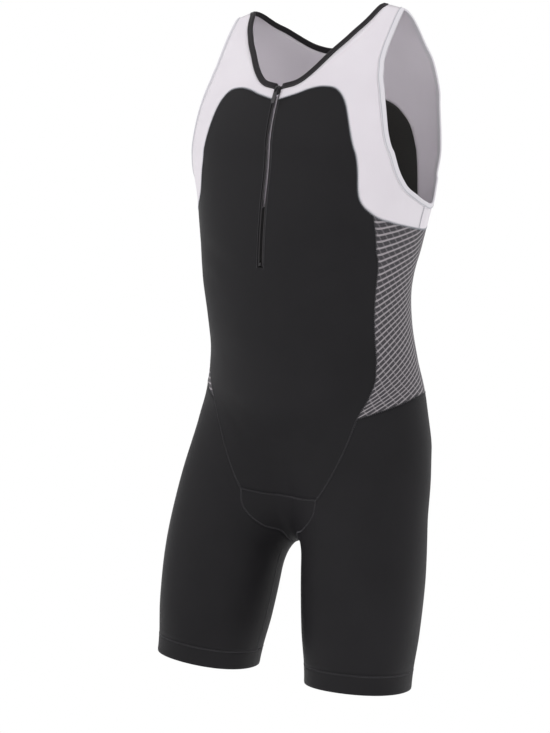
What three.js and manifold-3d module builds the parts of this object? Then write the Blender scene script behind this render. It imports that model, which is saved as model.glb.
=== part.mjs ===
// A sleeveless one-piece triathlon suit, filled out as if it were worn, with nobody in it.
// Every panel is a thin wall laid on one smooth figure, and its neighbours share its seam lines.
// Millimetres, +Z up, the front faces -Y and the wearer's left is +X. The origin lies between
// the shoulder straps, at the height of the top of the shoulders.
import * as THREE from "three";
import { mergeVertices } from "three/addons/utils/BufferGeometryUtils.js";
import Module from "manifold-3d";

// Walls, from their inner to their outer face, measured outwards from the figure.
const CLOTH = { inner: -0.9, outer: 0.6 };
const BINDING = { inner: -1.4, outer: 1.3 };
const TAPE = { inner: -0.9, outer: 0.1 };
const COIL = { inner: -1.6, outer: 0.8 };
const STOP = { inner: -1, outer: 1.5 };
const SEAM_GAP = 0.34;

// Widths along the cloth
const NECK_BINDING = 8;
const ARM_BINDING = 6.5;
const HEM_BAND = 24;

// Zip: half widths x from the centre line, and the heights of its ends
const ZIP = { tapeIn: 1.9, tapeOut: 4, coil: 1.5 };
const ZIP_Z = { top: -100, coil: -317, stop: -319, stopEnd: -323, end: -324 };
const ZIP_CELLS = 16;

// Slider and pull tab, with y up along the zip and z out from the cloth
const SLIDER = { z: -106, width: 7, length: 12, floor: 1.3, top: 3.3, corner: 1.6 };
const LUG = { width: 2.2, radius: 2, hole: 1.05, out: 4.6, up: 1.5, root: 0.4 };
const PULL = { width: 5.6, length: 21, thickness: 1.2, bar: 1.2, window: 3, windowLength: 4.2, end: 2 };

// Torso rings from the chest line down: height z, half width a, front and back depth f and b about
// y = c, and how far the ring's corners stand out of an ellipse.
const CHEST_Z = -178;
const TORSO = [
  { z: -178, a: 188, f: 100, b: 98, c: -3, k: 0.06 },
  { z: -250, a: 168, f: 103, b: 99, c: -10, k: 0.06 },
  { z: -300, a: 159, f: 101, b: 98, c: -17, k: 0.05 },
  { z: -350, a: 153, f: 94, b: 91, c: -25, k: 0.04 },
  { z: -400, a: 150, f: 97, b: 96, c: -19, k: 0.03 },
  { z: -450, a: 154, f: 103, b: 101, c: -8, k: 0.01 },
  { z: -500, a: 163, f: 103, b: 105, c: -1, k: 0 },
  { z: -560, a: 156, f: 86, b: 104, c: 4, k: 0 },
  { z: -620, a: 150, f: 77, b: 92, c: 4, k: 0 },
];
const BOWL = { z: -600, depth: 106 };

// Shoulders: the front and back close over the top in a ridge along x.
const ARCH = 190;
const RIDGE = { y: -2, x: 102, drop: 0.00115 };
const SHOULDER_RISE = 1.3;
const FRONT_SLOPE = 1.8;
const BACK_SLOPE = 1.25;

// Leg: an axis from the hip to the hem, with half width w and half depth d at each distance t along it.
const HIP = new THREE.Vector3(94, -7, -565);
const HEM = new THREE.Vector3(111, -87, -876);
const LEG = [
  { t: -60, w: 68, d: 62 },
  { t: 40, w: 81, d: 66 },
  { t: 110, w: 82, d: 75 },
  { t: 180, w: 81, d: 82 },
  { t: 250, w: 76, d: 82 },
  { t: 322, w: 69, d: 72 },
];
const LEG_CORNER = 0.03;
const HIP_CAP = 60;
const CROTCH_BLEND = 26;
const HIP_BLEND = 46;

// Stance: below the waist the figure turns a little, so that the wearer's right leg is ahead.
const TURN = { z: -430, span: 330, angle: 13.5, x: -8, y: -6 };

// Crotch: the gusset is laid out round an axis along x.
const CROTCH = { y: -20, z: -610 };

const rad = THREE.MathUtils.degToRad;
const deg = THREE.MathUtils.radToDeg;
const X_AXIS = new THREE.Vector3(1, 0, 0);
const Z_AXIS = new THREE.Vector3(0, 0, 1);

// A smooth curve through a table's rows, along its first column.
function rowAt(table, along) {
  const [key, ...columns] = Object.keys(table[0]);
  const rows = table[1][key] > table[0][key] ? table : table.toReversed();
  const last = rows.length - 1;
  const at = Math.min(Math.max(along, rows[0][key]), rows[last][key]);
  let i = 0;
  while (i < last - 1 && at > rows[i + 1][key]) i += 1;
  const span = rows[i + 1][key] - rows[i][key];
  const t = (at - rows[i][key]) / span;
  const row = {};
  for (const column of columns) {
    const slope = (k) => {
      if (k === 0 || k === last) return 0;
      return (rows[k + 1][column] - rows[k - 1][column]) / (rows[k + 1][key] - rows[k - 1][key]);
    };
    row[column] =
      (2 * t ** 3 - 3 * t ** 2 + 1) * rows[i][column] +
      (t ** 3 - 2 * t ** 2 + t) * span * slope(i) +
      (3 * t ** 2 - 2 * t ** 3) * rows[i + 1][column] +
      (t ** 3 - t ** 2) * span * slope(i + 1);
  }
  return row;
}

// About how far a point lies outside a rounded ellipse, which a cap may close at one end.
function ellipseDistance(u, v, halfU, halfV, cornering, cap) {
  const swell = 1 + cornering * Math.sin(2 * Math.atan2(u / halfU, v / halfV)) ** 2;
  const whole = Math.hypot(u / halfU / swell, v / halfV / swell, cap);
  const reach = Math.hypot(u, v, cap * halfV);
  return reach * (1 - 1 / Math.max(whole, 0.01));
}

function smoothUnion(a, b, blend) {
  const share = Math.max(blend - Math.abs(a - b), 0) / blend;
  return Math.min(a, b) - (share * share * blend) / 4;
}

const LEG_DIRECTION = HEM.clone().sub(HIP).normalize();
const LEG_OUTWARD = X_AXIS.clone().addScaledVector(LEG_DIRECTION, -X_AXIS.dot(LEG_DIRECTION)).normalize();
const LEG_BACKWARD = new THREE.Vector3().crossVectors(LEG_OUTWARD, LEG_DIRECTION);
const LEG_LENGTH = HEM.distanceTo(HIP);

function torsoDistance(x, y, z) {
  const row = rowAt(TORSO, z);
  const cap = Math.max(0, (BOWL.z - z) / BOWL.depth);
  return ellipseDistance(x, y - row.c, row.a, y < row.c ? row.f : row.b, row.k, cap);
}

function legDistance(x, y, z) {
  const p = new THREE.Vector3(x, y, z).sub(HIP);
  const along = p.dot(LEG_DIRECTION);
  const row = rowAt(LEG, along);
  const cap = Math.max(0, -along / HIP_CAP);
  return ellipseDistance(p.dot(LEG_OUTWARD), p.dot(LEG_BACKWARD), row.w, row.d, LEG_CORNER, cap);
}

function figureDistance(x, y, z) {
  const legs = smoothUnion(legDistance(x, y, z), legDistance(-x, y, z), CROTCH_BLEND);
  return smoothUnion(torsoDistance(x, y, z), legs, HIP_BLEND);
}

function figureNormal(p) {
  const e = 0.5;
  return new THREE.Vector3(
    figureDistance(p.x + e, p.y, p.z) - figureDistance(p.x - e, p.y, p.z),
    figureDistance(p.x, p.y + e, p.z) - figureDistance(p.x, p.y - e, p.z),
    figureDistance(p.x, p.y, p.z + e) - figureDistance(p.x, p.y, p.z - e),
  ).normalize();
}

// Turns a point of the upright, even figure to where it lies in the stance.
function stand(p) {
  const share = THREE.MathUtils.smoothstep(TURN.z - p.z, 0, TURN.span);
  const turned = p.clone().applyAxisAngle(Z_AXIS, share * rad(TURN.angle));
  return turned.add(new THREE.Vector3(share * TURN.x, share * TURN.y, 0));
}

// The first place where a ray from inside the figure comes out of it.
function leaveFigure(start, direction) {
  const isOutside = (t) => {
    const p = start.clone().addScaledVector(direction, t);
    return figureDistance(p.x, p.y, p.z) > 0;
  };
  const step = 4;
  let far = step;
  while (!isOutside(far) && far < 400) far += step;
  let near = far - step;
  for (let i = 0; i < 24; i += 1) {
    const middle = (near + far) / 2;
    if (isOutside(middle)) far = middle;
    else near = middle;
  }
  return start.clone().addScaledVector(direction, near);
}

function ridgeZ(x) {
  return RIDGE.drop * (RIDGE.x ** 2 - x ** 2);
}

// Torso chart: u is the angle round the body from the centre front, v the level above the chest line.
const torsoChart = {
  point(u, v) {
    const row = rowAt(TORSO, CHEST_Z + Math.min(v, 0));
    const swell = 1 + row.k * Math.sin(2 * rad(u)) ** 2;
    const facing = Math.cos(rad(u));
    const x = row.a * Math.sin(rad(u)) * swell;
    const y = -(facing > 0 ? row.f : row.b) * facing * swell;
    if (v <= 0) {
      return leaveFigure(new THREE.Vector3(0, row.c, CHEST_Z + v), new THREE.Vector3(x, y, 0).normalize());
    }
    const rise = (v / ARCH) * (Math.PI / 2);
    const reach = Math.max(0, Math.cos(rise)) ** (facing > 0 ? FRONT_SLOPE : BACK_SLOPE);
    const height = (ridgeZ(x) - CHEST_Z) * Math.sin(rise) ** SHOULDER_RISE;
    return new THREE.Vector3(x, RIDGE.y + (row.c + y - RIDGE.y) * reach, CHEST_Z + height);
  },
  normal(u, v, p) {
    if (v <= 0) return figureNormal(p);
    const e = v > ARCH / 2 ? -0.002 : 0.002;
    const across = this.point(u + 0.01, v).sub(this.point(u - 0.01, v));
    const up = this.point(u, v + e).sub(p).multiplyScalar(Math.sign(e));
    if (v < ARCH) return across.cross(up).normalize();
    return new THREE.Vector3(-across.z, 0, across.x).multiplyScalar(Math.sign(across.x)).normalize();
  },
  locate(p) {
    const row = rowAt(TORSO, p.z);
    const dy = p.y - row.c;
    return new THREE.Vector2(deg(Math.atan2(p.x / row.a, -dy / (dy < 0 ? row.f : row.b))), p.z - CHEST_Z);
  },
};

// The level in the torso chart of a height z at the angle u.
function levelAt(u, z) {
  if (z <= CHEST_Z) return z - CHEST_Z;
  const x = torsoChart.point(u, 0.001).x;
  const share = Math.min(1, (z - CHEST_Z) / (ridgeZ(x) - CHEST_Z));
  return (Math.asin(share ** (1 / SHOULDER_RISE)) / (Math.PI / 2)) * ARCH;
}

// Leg chart: u is the angle round the leg from its outside towards the back, v the distance below the hip.
const legChart = {
  point(u, v) {
    const direction = LEG_OUTWARD.clone().multiplyScalar(Math.cos(rad(u)));
    direction.addScaledVector(LEG_BACKWARD, Math.sin(rad(u)));
    return leaveFigure(HIP.clone().addScaledVector(LEG_DIRECTION, v), direction);
  },
  normal: (u, v, p) => figureNormal(p),
  locate(p) {
    const r = p.clone().sub(HIP);
    return new THREE.Vector2(deg(Math.atan2(r.dot(LEG_BACKWARD), r.dot(LEG_OUTWARD))), r.dot(LEG_DIRECTION));
  },
};

// Crotch chart: u is x, v the angle from straight forward, under the crotch, to straight back.
const crotchChart = {
  point(u, v) {
    const start = new THREE.Vector3(u, CROTCH.y, CROTCH.z);
    return leaveFigure(start, new THREE.Vector3(0, -Math.cos(rad(v)), -Math.sin(rad(v))));
  },
  normal: (u, v, p) => figureNormal(p),
  locate: (p) => new THREE.Vector2(p.x, deg(Math.atan2(CROTCH.z - p.z, CROTCH.y - p.y))),
};

// Lines of the cut on the wearer's left, as degrees round from the centre front and heights. A row with
// cells ends a stretch and says how many pieces that stretch is divided into.
const NECK_FRONT = [
  { turn: 1.31, z: -97 },
  { turn: 8, z: -91 },
  { turn: 13, z: -77 },
  { turn: 18, z: -57 },
  { turn: 23.5, z: -36 },
  { turn: 28.5, z: -13 },
  { turn: 31.3, z: 2, cells: 8 },
];
const NECK_BACK = [
  { turn: 148.7, z: 2 },
  { turn: 152.5, z: -9 },
  { turn: 158.3, z: -22 },
  { turn: 165.5, z: -38 },
  { turn: 172, z: -46 },
  { turn: 180, z: -49, cells: 8 },
];
const ARMHOLE = [
  { turn: 42, z: 2 },
  { turn: 42, z: -27 },
  { turn: 41.8, z: -55 },
  { turn: 43, z: -82 },
  { turn: 46, z: -108 },
  { turn: 49, z: -134 },
  { turn: 52, z: -163 },
  { turn: 57, z: -192 },
  { turn: 66, z: -217 },
  { turn: 80, z: -232 },
  { turn: 94, z: -241, cells: 15 },
  { turn: 107, z: -245 },
  { turn: 118, z: -240 },
  { turn: 127, z: -217 },
  { turn: 131, z: -185 },
  { turn: 130.5, z: -142 },
  { turn: 128.5, z: -105 },
  { turn: 130, z: -73 },
  { turn: 135, z: -39 },
  { turn: 138, z: 2, cells: 15 },
];
const YOKE_EDGE = [
  { turn: 1.31, z: -116 },
  { turn: 5, z: -113 },
  { turn: 9.5, z: -109 },
  { turn: 14.5, z: -103.5 },
  { turn: 20.5, z: -101 },
  { turn: 26.5, z: -106 },
  { turn: 30.8, z: -122, cells: 8 },
  { turn: 33.4, z: -142 },
  { turn: 36, z: -167 },
  { turn: 39.5, z: -200 },
  { turn: 43.5, z: -232 },
  { turn: 53.2, z: -255, cells: 6 },
  { turn: 64.3, z: -264 },
  { turn: 78, z: -270 },
  { turn: 94, z: -275, cells: 4 },
  { turn: 108, z: -277 },
  { turn: 122, z: -272, cells: 4 },
  { turn: 136, z: -254 },
  { turn: 143, z: -232 },
  { turn: 148, z: -194 },
  { turn: 151, z: -157, cells: 6 },
  { turn: 156, z: -131 },
  { turn: 161.5, z: -118 },
  { turn: 168, z: -112 },
  { turn: 180, z: -109, cells: 8 },
];
const ZIP_EDGE = [
  { turn: 1.31, z: -116 },
  { turn: 1.31, z: -178 },
  { turn: 1.45, z: -250 },
  { turn: 1.58, z: -325, cells: 7 },
  { turn: 1.65, z: -400 },
  { turn: 1.55, z: -500 },
  { turn: 1.6, z: -634, cells: 11 },
];
const SIDE_FRONT = [
  { turn: 53.2, z: -255 },
  { turn: 59, z: -295 },
  { turn: 63.8, z: -360 },
  { turn: 63.5, z: -410 },
  { turn: 61.4, z: -450 },
  { turn: 54.5, z: -482 },
  { turn: 44, z: -514, cells: 9 },
  { turn: 30, z: -570 },
  { turn: 17, z: -628, cells: 3 },
];
const SIDE_BACK = [
  { turn: 122, z: -272 },
  { turn: 124, z: -350 },
  { turn: 125, z: -430 },
  { turn: 124, z: -496, cells: 9 },
];
const LEG_TOP = [
  { turn: 44, z: -514 },
  { turn: 55, z: -506 },
  { turn: 65, z: -500 },
  { turn: 88, z: -491 },
  { turn: 110, z: -493 },
  { turn: 124, z: -496, cells: 8 },
  { turn: 150, z: -500 },
  { turn: 180, z: -500, cells: 8 },
];
const GUSSET_FRONT = [
  { turn: 1.6, z: -634 },
  { turn: 9, z: -633 },
  { turn: 17, z: -628, cells: 8 },
];

// The gusset's edge under the crotch: distance x from the middle and degrees down from straight forward.
const GUSSET_EDGE = [
  { x: 53, under: 27 },
  { x: 31, under: 45 },
  { x: 13, under: 61 },
  { x: 8, under: 74 },
  { x: 7, under: 90, cells: 6 },
  { x: 5, under: 108 },
  { x: 0, under: 125, cells: 3 },
];
// Where the cells of a leg's top edge come down to at its hem: degrees from the outside to the back.
const HEM_TURNS = [
  { cell: 0, turn: -180 },
  { cell: 9, turn: -88 },
  { cell: 25, turn: 70 },
  { cell: 34, turn: 180 },
];
const SEAT_SEAM_CELLS = 6;
const YOKE_CELLS = 5;
const STRAP_CELLS = 3;
const LEG_CELLS = 8;

// A point of the cloth on the even figure: its place, its outward normal and its chart coordinates.
function clothPoint(chart, u, v) {
  const p = chart.point(u, v);
  return { chart, u, v, p, n: chart.normal(u, v, p) };
}

function inChart(chart, c) {
  return c.chart === chart ? new THREE.Vector2(c.u, c.v) : chart.locate(c.p);
}

// Points evenly spaced along the cloth, between two places on a curve of chart coordinates.
function evenly(chart, curve, from, to, cells) {
  const fine = [];
  const steps = cells * 16;
  for (let i = 0; i <= steps; i += 1) {
    const q = curve.getPoint(from + ((to - from) * i) / steps);
    const p = chart.point(q.x, q.y);
    fine.push({ q, p, length: i ? fine[i - 1].length + fine[i - 1].p.distanceTo(p) : 0 });
  }
  const points = [];
  let k = 0;
  for (let i = 1; i <= cells; i += 1) {
    const goal = (fine[steps].length * i) / cells;
    while (k < steps - 1 && fine[k + 1].length < goal) k += 1;
    const share = (goal - fine[k].length) / (fine[k + 1].length - fine[k].length);
    const q = fine[k].q.clone().lerp(fine[k + 1].q, i === cells ? 1 : share);
    points.push(clothPoint(chart, q.x, q.y));
  }
  return points;
}

// A smooth line through chart coordinates, divided into the cells that its stops ask for.
function seam(chart, stops) {
  const places = stops.map(({ u, v }) => new THREE.Vector3(u, v, 0));
  const curve = new THREE.CatmullRomCurve3(places, false, "centripetal");
  const points = [clothPoint(chart, stops[0].u, stops[0].v)];
  let from = 0;
  stops.forEach(({ cells }, i) => {
    if (!cells) return;
    const to = i / (stops.length - 1);
    points.push(...evenly(chart, curve, from, to, cells));
    from = to;
  });
  return points;
}

function torsoSeam(rows) {
  return seam(torsoChart, rows.map(({ turn, z, cells }) => ({ u: turn, v: levelAt(turn, z), cells })));
}

// A torso line moved over the cloth to its right, seen from outside. Its ends stay on the ridge, on the
// centre or on the zip's edge.
function beside(line, width) {
  const last = line.length - 1;
  return line.map((c, i) => {
    const { u, v } = c;
    const e = 0.01;
    const down = v >= ARCH ? 2 * e : e;
    const du = torsoChart.point(u + e, v).sub(torsoChart.point(u - e, v)).divideScalar(2 * e);
    const top = torsoChart.point(u, Math.min(v + e, ARCH));
    const dv = top.sub(torsoChart.point(u, v - down)).divideScalar(Math.min(v + e, ARCH) - v + down);
    const before = line[Math.max(i - 1, 0)];
    const after = line[Math.min(i + 1, last)];
    if (v >= ARCH) {
      const side = Math.sign(i ? c.v - before.v : after.v - c.v);
      return clothPoint(torsoChart, u + (side * width) / du.length(), ARCH);
    }
    const side = after.p.clone().sub(before.p).cross(c.n).normalize();
    const [a, b, d] = [du.dot(du), du.dot(dv), dv.dot(dv)];
    const [f, g] = [du.dot(side) * width, dv.dot(side) * width];
    const moved = new THREE.Vector2(f * d - g * b, g * a - f * b).divideScalar(a * d - b * b);
    if (i === 0 || i === last) {
      const slope = (after.v - before.v) / (after.u - before.u);
      return clothPoint(torsoChart, u, v + moved.y - slope * moved.x);
    }
    return clothPoint(torsoChart, u + moved.x, Math.min(v + moved.y, ARCH));
  });
}

// Rows of cloth points between two lines with as many points each.
function ruled(chart, first, last, rows, unwrap = (q) => q) {
  const starts = unwrap(first.map((c) => inChart(chart, c)));
  const ends = unwrap(last.map((c) => inChart(chart, c)));
  const grid = [first];
  for (let i = 1; i < rows; i += 1) {
    const between = starts.map((q, j) => q.clone().lerp(ends[j], i / rows));
    grid.push(between.map((q) => clothPoint(chart, q.x, q.y)));
  }
  return [...grid, last];
}

// Rows of cloth points inside four lines that meet at their ends.
function patch(chart, top, bottom, left, right) {
  const [t, b, l, r] = [top, bottom, left, right].map((line) => line.map((c) => inChart(chart, c)));
  const rows = left.length - 1;
  const columns = top.length - 1;
  return left.map((start, i) => {
    if (i === 0) return top;
    if (i === rows) return bottom;
    const y = i / rows;
    return top.map((c, j) => {
      if (j === 0) return start;
      if (j === columns) return right[i];
      const x = j / columns;
      const q = t[j].clone().multiplyScalar(1 - y).addScaledVector(b[j], y);
      q.addScaledVector(l[i], 1 - x).addScaledVector(r[i], x);
      q.addScaledVector(t[0], (x - 1) * (1 - y)).addScaledVector(t[columns], -x * (1 - y));
      q.addScaledVector(b[0], (x - 1) * y).addScaledVector(b[columns], -x * y);
      return clothPoint(chart, q.x, q.y);
    });
  });
}

function flipped({ chart, u, v, p, n }) {
  const flip = (w) => new THREE.Vector3(-w.x, w.y, w.z);
  return { chart, u: -u, v, p: flip(p), n: flip(n) };
}

const mirrored = (grid) => grid.map((row) => row.map(flipped));

// A sheet: cloth points and the cells that share them, each cell turned to face outwards.
function sheetOf(...grids) {
  const points = [];
  const cells = [];
  const known = new Map();
  const indexOf = ({ p, n }) => {
    const key = p.toArray().map((value) => Math.round(value * 100)).join();
    if (!known.has(key)) {
      known.set(key, points.length);
      points.push({ p: p.clone(), n: n.clone() });
    }
    return known.get(key);
  };
  for (const grid of grids) {
    for (let i = 0; i + 1 < grid.length; i += 1) {
      for (let j = 0; j + 1 < grid[i].length; j += 1) {
        const around = [grid[i][j], grid[i + 1][j], grid[i + 1][j + 1], grid[i][j + 1]].map(indexOf);
        const cell = around.filter((c, k) => around.indexOf(c) === k);
        if (cell.length < 3) continue;
        const [a, b, c, d] = [...cell, cell[2]].map((k) => points[k].p);
        const facing = c.clone().sub(a).cross(d.clone().sub(b));
        if (cell.length === 3) facing.copy(b.clone().sub(a).cross(c.clone().sub(a)));
        if (cell.length === 4 && a.distanceTo(c) > b.distanceTo(d)) cell.push(cell.shift());
        cells.push(facing.dot(points[cell[0]].n) < 0 ? [cell[0], ...cell.slice(1).toReversed()] : cell);
      }
    }
  }
  return { points, cells };
}

// The edges that only one cell has, in that cell's direction.
function freeEdges({ cells }) {
  const edges = new Map();
  for (const cell of cells) {
    cell.forEach((a, k) => {
      const b = cell[(k + 1) % cell.length];
      if (!edges.delete(`${b},${a}`)) edges.set(`${a},${b}`, [a, b]);
    });
  }
  return [...edges.values()];
}

// A closed wall on a sheet. Its free edges are drawn in by half a seam gap, and it takes the stance.
function wall(sheet, { inner, outer } = CLOTH) {
  const free = freeEdges(sheet);
  const inward = new Map();
  for (const [a, b] of free) {
    const along = sheet.points[b].p.clone().sub(sheet.points[a].p).normalize();
    for (const k of [a, b]) {
      const side = sheet.points[k].n.clone().cross(along).normalize();
      inward.set(k, [...(inward.get(k) ?? []), side]);
    }
  }
  const places = sheet.points.map(({ p, n }, k) => {
    const sides = inward.get(k) ?? [];
    const spread = sides.length > 1 ? Math.max(0.4, 1 + sides[0].dot(sides[1])) : 1;
    const drawn = sides.reduce((sum, side) => sum.addScaledVector(side, SEAM_GAP / 2 / spread), p.clone());
    return [outer, inner].map((offset) => stand(drawn.clone().addScaledVector(n, offset)));
  });
  const index = [];
  const under = places.length;
  for (const cell of sheet.cells) {
    for (let k = 1; k + 1 < cell.length; k += 1) {
      index.push(cell[0], cell[k], cell[k + 1]);
      index.push(cell[0] + under, cell[k + 1] + under, cell[k] + under);
    }
  }
  for (const [a, b] of free) index.push(a, a + under, b + under, a, b + under, b);
  const positions = [0, 1].flatMap((side) => places.flatMap((pair) => pair[side].toArray()));
  const geometry = new THREE.BufferGeometry();
  geometry.setAttribute("position", new THREE.Float32BufferAttribute(positions, 3));
  return geometry.setIndex(index);
}

// The suit's colours
const fabric = (color, roughness) => new THREE.MeshStandardMaterial({ color, roughness, metalness: 0 });
const BLACK = fabric(0x1b1a1d, 0.75);
const WHITE = fabric(0xe4dfe4, 0.8);
const MESH = fabric(0x4a464c, 0.85);
const TRIM = fabric(0x201c20, 0.7);
const NYLON = fabric(0x151416, 0.5);
const METAL = new THREE.MeshStandardMaterial({ color: 0x8d8d90, roughness: 0.4, metalness: 0.8 });

const suit = new THREE.Group();
function add(name, geometry, material) {
  const mesh = new THREE.Mesh(geometry, material);
  mesh.name = name;
  suit.add(mesh);
  return mesh;
}

function addPair(name, grids, faces, material) {
  add(`${name}_left`, wall(sheetOf(...grids), faces), material);
  add(`${name}_right`, wall(sheetOf(...grids.map(mirrored)), faces), material);
}

// Bindings
const neckFront = torsoSeam(NECK_FRONT);
const neckBack = torsoSeam(NECK_BACK);
const armhole = torsoSeam(ARMHOLE);
const neckFrontSeam = beside(neckFront, NECK_BINDING);
const neckBackSeam = beside(neckBack, NECK_BINDING);
const armholeSeam = beside(armhole, ARM_BINDING);
const neckHalf = [
  [neckFront, neckFrontSeam],
  [neckBack, neckBackSeam],
];
add("neck_binding", wall(sheetOf(...neckHalf, ...neckHalf.map(mirrored)), BINDING), TRIM);
addPair("armhole_binding", [[armhole, armholeSeam]], BINDING, WHITE);

// Yokes: a tongue from the zip to the strap, and a strip from the strap round the armhole to the side.
const yokeEdge = torsoSeam(YOKE_EDGE);
// Cells along the yoke's edge to its front bump, the side panel, the side seam and the back, and
// along the armhole to the side seam
const [BUMP, SIDE_START, SIDE_SEAM, SIDE_END, BACK_BUMP] = [8, 14, 18, 22, 28];
const ARM_SEAM = 15;
const [armholeFront, armholeBack] = [armholeSeam.slice(0, ARM_SEAM + 1), armholeSeam.slice(ARM_SEAM)];
const chartLine = (a, b, cells) =>
  seam(torsoChart, [
    { u: a.u, v: a.v },
    { u: b.u, v: b.v, cells },
  ]);

function yoke(neckSeam, armSeam, edge, bump) {
  const strap = chartLine(neckSeam.at(-1), edge[bump], YOKE_CELLS);
  const centre = chartLine(neckSeam[0], edge[0], YOKE_CELLS);
  const tongue = patch(torsoChart, neckSeam, edge.slice(0, bump + 1), centre, strap);
  const strip = ruled(torsoChart, [...strap, ...edge.slice(bump + 1)], armSeam, STRAP_CELLS);
  return [tongue, strip];
}

const frontYoke = yoke(neckFrontSeam, armholeFront, yokeEdge.slice(0, SIDE_SEAM + 1), BUMP);
const backEdge = yokeEdge.slice(SIDE_SEAM).toReversed();
const backYoke = yoke(neckBackSeam.toReversed(), armholeBack.toReversed(), backEdge, BUMP);
addPair("yoke_front", frontYoke, CLOTH, WHITE);
add("yoke_back", wall(sheetOf(...backYoke, ...backYoke.map(mirrored))), WHITE);

// Front, down to the gusset, with the zip's slot
const SLOT_CELLS = 7;
const zipEdge = torsoSeam(ZIP_EDGE);
const sideFront = torsoSeam(SIDE_FRONT);
const gussetFront = torsoSeam(GUSSET_FRONT);
const frontSide = [...yokeEdge.slice(BUMP, SIDE_START), ...sideFront];
const front = patch(torsoChart, yokeEdge.slice(0, BUMP + 1), gussetFront, zipEdge, frontSide);
const belowZip = zipEdge.slice(SLOT_CELLS).map((c) => [c, flipped(c)]);
add("front_panel", wall(sheetOf(front, mirrored(front), belowZip)), BLACK);

// Back and sides
const sideBack = torsoSeam(SIDE_BACK);
const legTop = torsoSeam(LEG_TOP);
const SIDE_COLUMNS = 8;
const SIDE_ROWS = 9;
const waistBack = legTop.slice(SIDE_COLUMNS);
const backSide = [...yokeEdge.slice(SIDE_END + 1, BACK_BUMP + 1).toReversed(), ...sideBack];
const middleBack = chartLine(yokeEdge.at(-1), waistBack.at(-1), backSide.length - 1);
const back = patch(torsoChart, yokeEdge.slice(BACK_BUMP), waistBack, backSide, middleBack);
add("back_panel", wall(sheetOf(back, mirrored(back))), MESH);
const side = patch(
  torsoChart,
  yokeEdge.slice(SIDE_START, SIDE_END + 1),
  legTop.slice(0, SIDE_COLUMNS + 1),
  sideFront.slice(0, SIDE_ROWS + 1),
  sideBack,
);
addPair("side_panel", [side], CLOTH, MESH);

// Gusset
const corner = crotchChart.locate(gussetFront.at(-1).p);
const gussetEdge = seam(crotchChart, [
  { u: corner.x, v: corner.y },
  ...GUSSET_EDGE.map(({ x, under, cells }) => ({ u: x, v: under, cells })),
]);
const gussetTop = [...gussetFront.map(flipped).toReversed(), ...gussetFront];
const gussetEnd = gussetTop.map(() => gussetEdge.at(-1));
add("gusset", wall(sheetOf(patch(crotchChart, gussetTop, gussetEnd, gussetEdge.map(flipped), gussetEdge))), BLACK);

// Legs: each goes all round from the inseam, and its top edge follows every seam above it.
const seatTop = crotchChart.locate(waistBack.at(-1).p);
const seatSeam = seam(crotchChart, [
  { u: 0, v: seatTop.y + 360 },
  { u: 0, v: gussetEdge.at(-1).v, cells: SEAT_SEAM_CELLS },
]);
const INSEAM_CELL = 6;
const legEdge = [
  ...gussetEdge.slice(0, INSEAM_CELL + 1).toReversed(),
  ...sideFront.slice(SIDE_ROWS, -1).toReversed(),
  ...legTop.slice(1),
  ...seatSeam.slice(1),
  ...gussetEdge.slice(INSEAM_CELL, -1).toReversed(),
];
function unwrapped(places) {
  let last = -180;
  return places.map((q) => {
    const u = q.x + 360 * Math.round((last - q.x) / 360);
    last = u;
    return new THREE.Vector2(u, q.y);
  });
}
const ringAt = (v) =>
  legEdge.map((c, j) => {
    const k = HEM_TURNS.findIndex(({ cell }) => cell > j || cell === legEdge.length - 1);
    const [a, b] = [HEM_TURNS[k - 1], HEM_TURNS[k]];
    return clothPoint(legChart, THREE.MathUtils.mapLinear(j, a.cell, b.cell, a.turn, b.turn), v);
  });
const bandTop = ringAt(LEG_LENGTH - HEM_BAND);
const hem = ringAt(LEG_LENGTH);
addPair("leg", [ruled(legChart, legEdge, bandTop, LEG_CELLS, unwrapped)], CLOTH, BLACK);
addPair("hem_band", [[bandTop, hem]], CLOTH, BLACK);

// Zip tapes, coil and bottom stop
function zipStrip(halfFrom, halfTo, from, to, cells) {
  return Array.from({ length: cells + 1 }, (_, i) => {
    const z = from + ((to - from) * i) / cells;
    return [halfFrom, halfTo].map((x) => {
      const turn = deg(Math.asin(x / torsoWidth(z)));
      return clothPoint(torsoChart, turn, levelAt(turn, z));
    });
  });
}
function torsoWidth(z) {
  return rowAt(TORSO, Math.min(z, CHEST_Z)).a;
}
const tape = zipStrip(ZIP.tapeIn, ZIP.tapeOut, ZIP_Z.top, ZIP_Z.end, ZIP_CELLS);
const coil = zipStrip(-ZIP.coil, ZIP.coil, ZIP_Z.top, ZIP_Z.coil, ZIP_CELLS);
const stop = zipStrip(-ZIP.coil, ZIP.coil, ZIP_Z.stop, ZIP_Z.stopEnd, 1);
addPair("zip_tape", [tape], TAPE, TRIM);
add("zip_coil", wall(sheetOf(coil), COIL), NYLON);
add("zip_stop", wall(sheetOf(stop), STOP), METAL);

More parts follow.
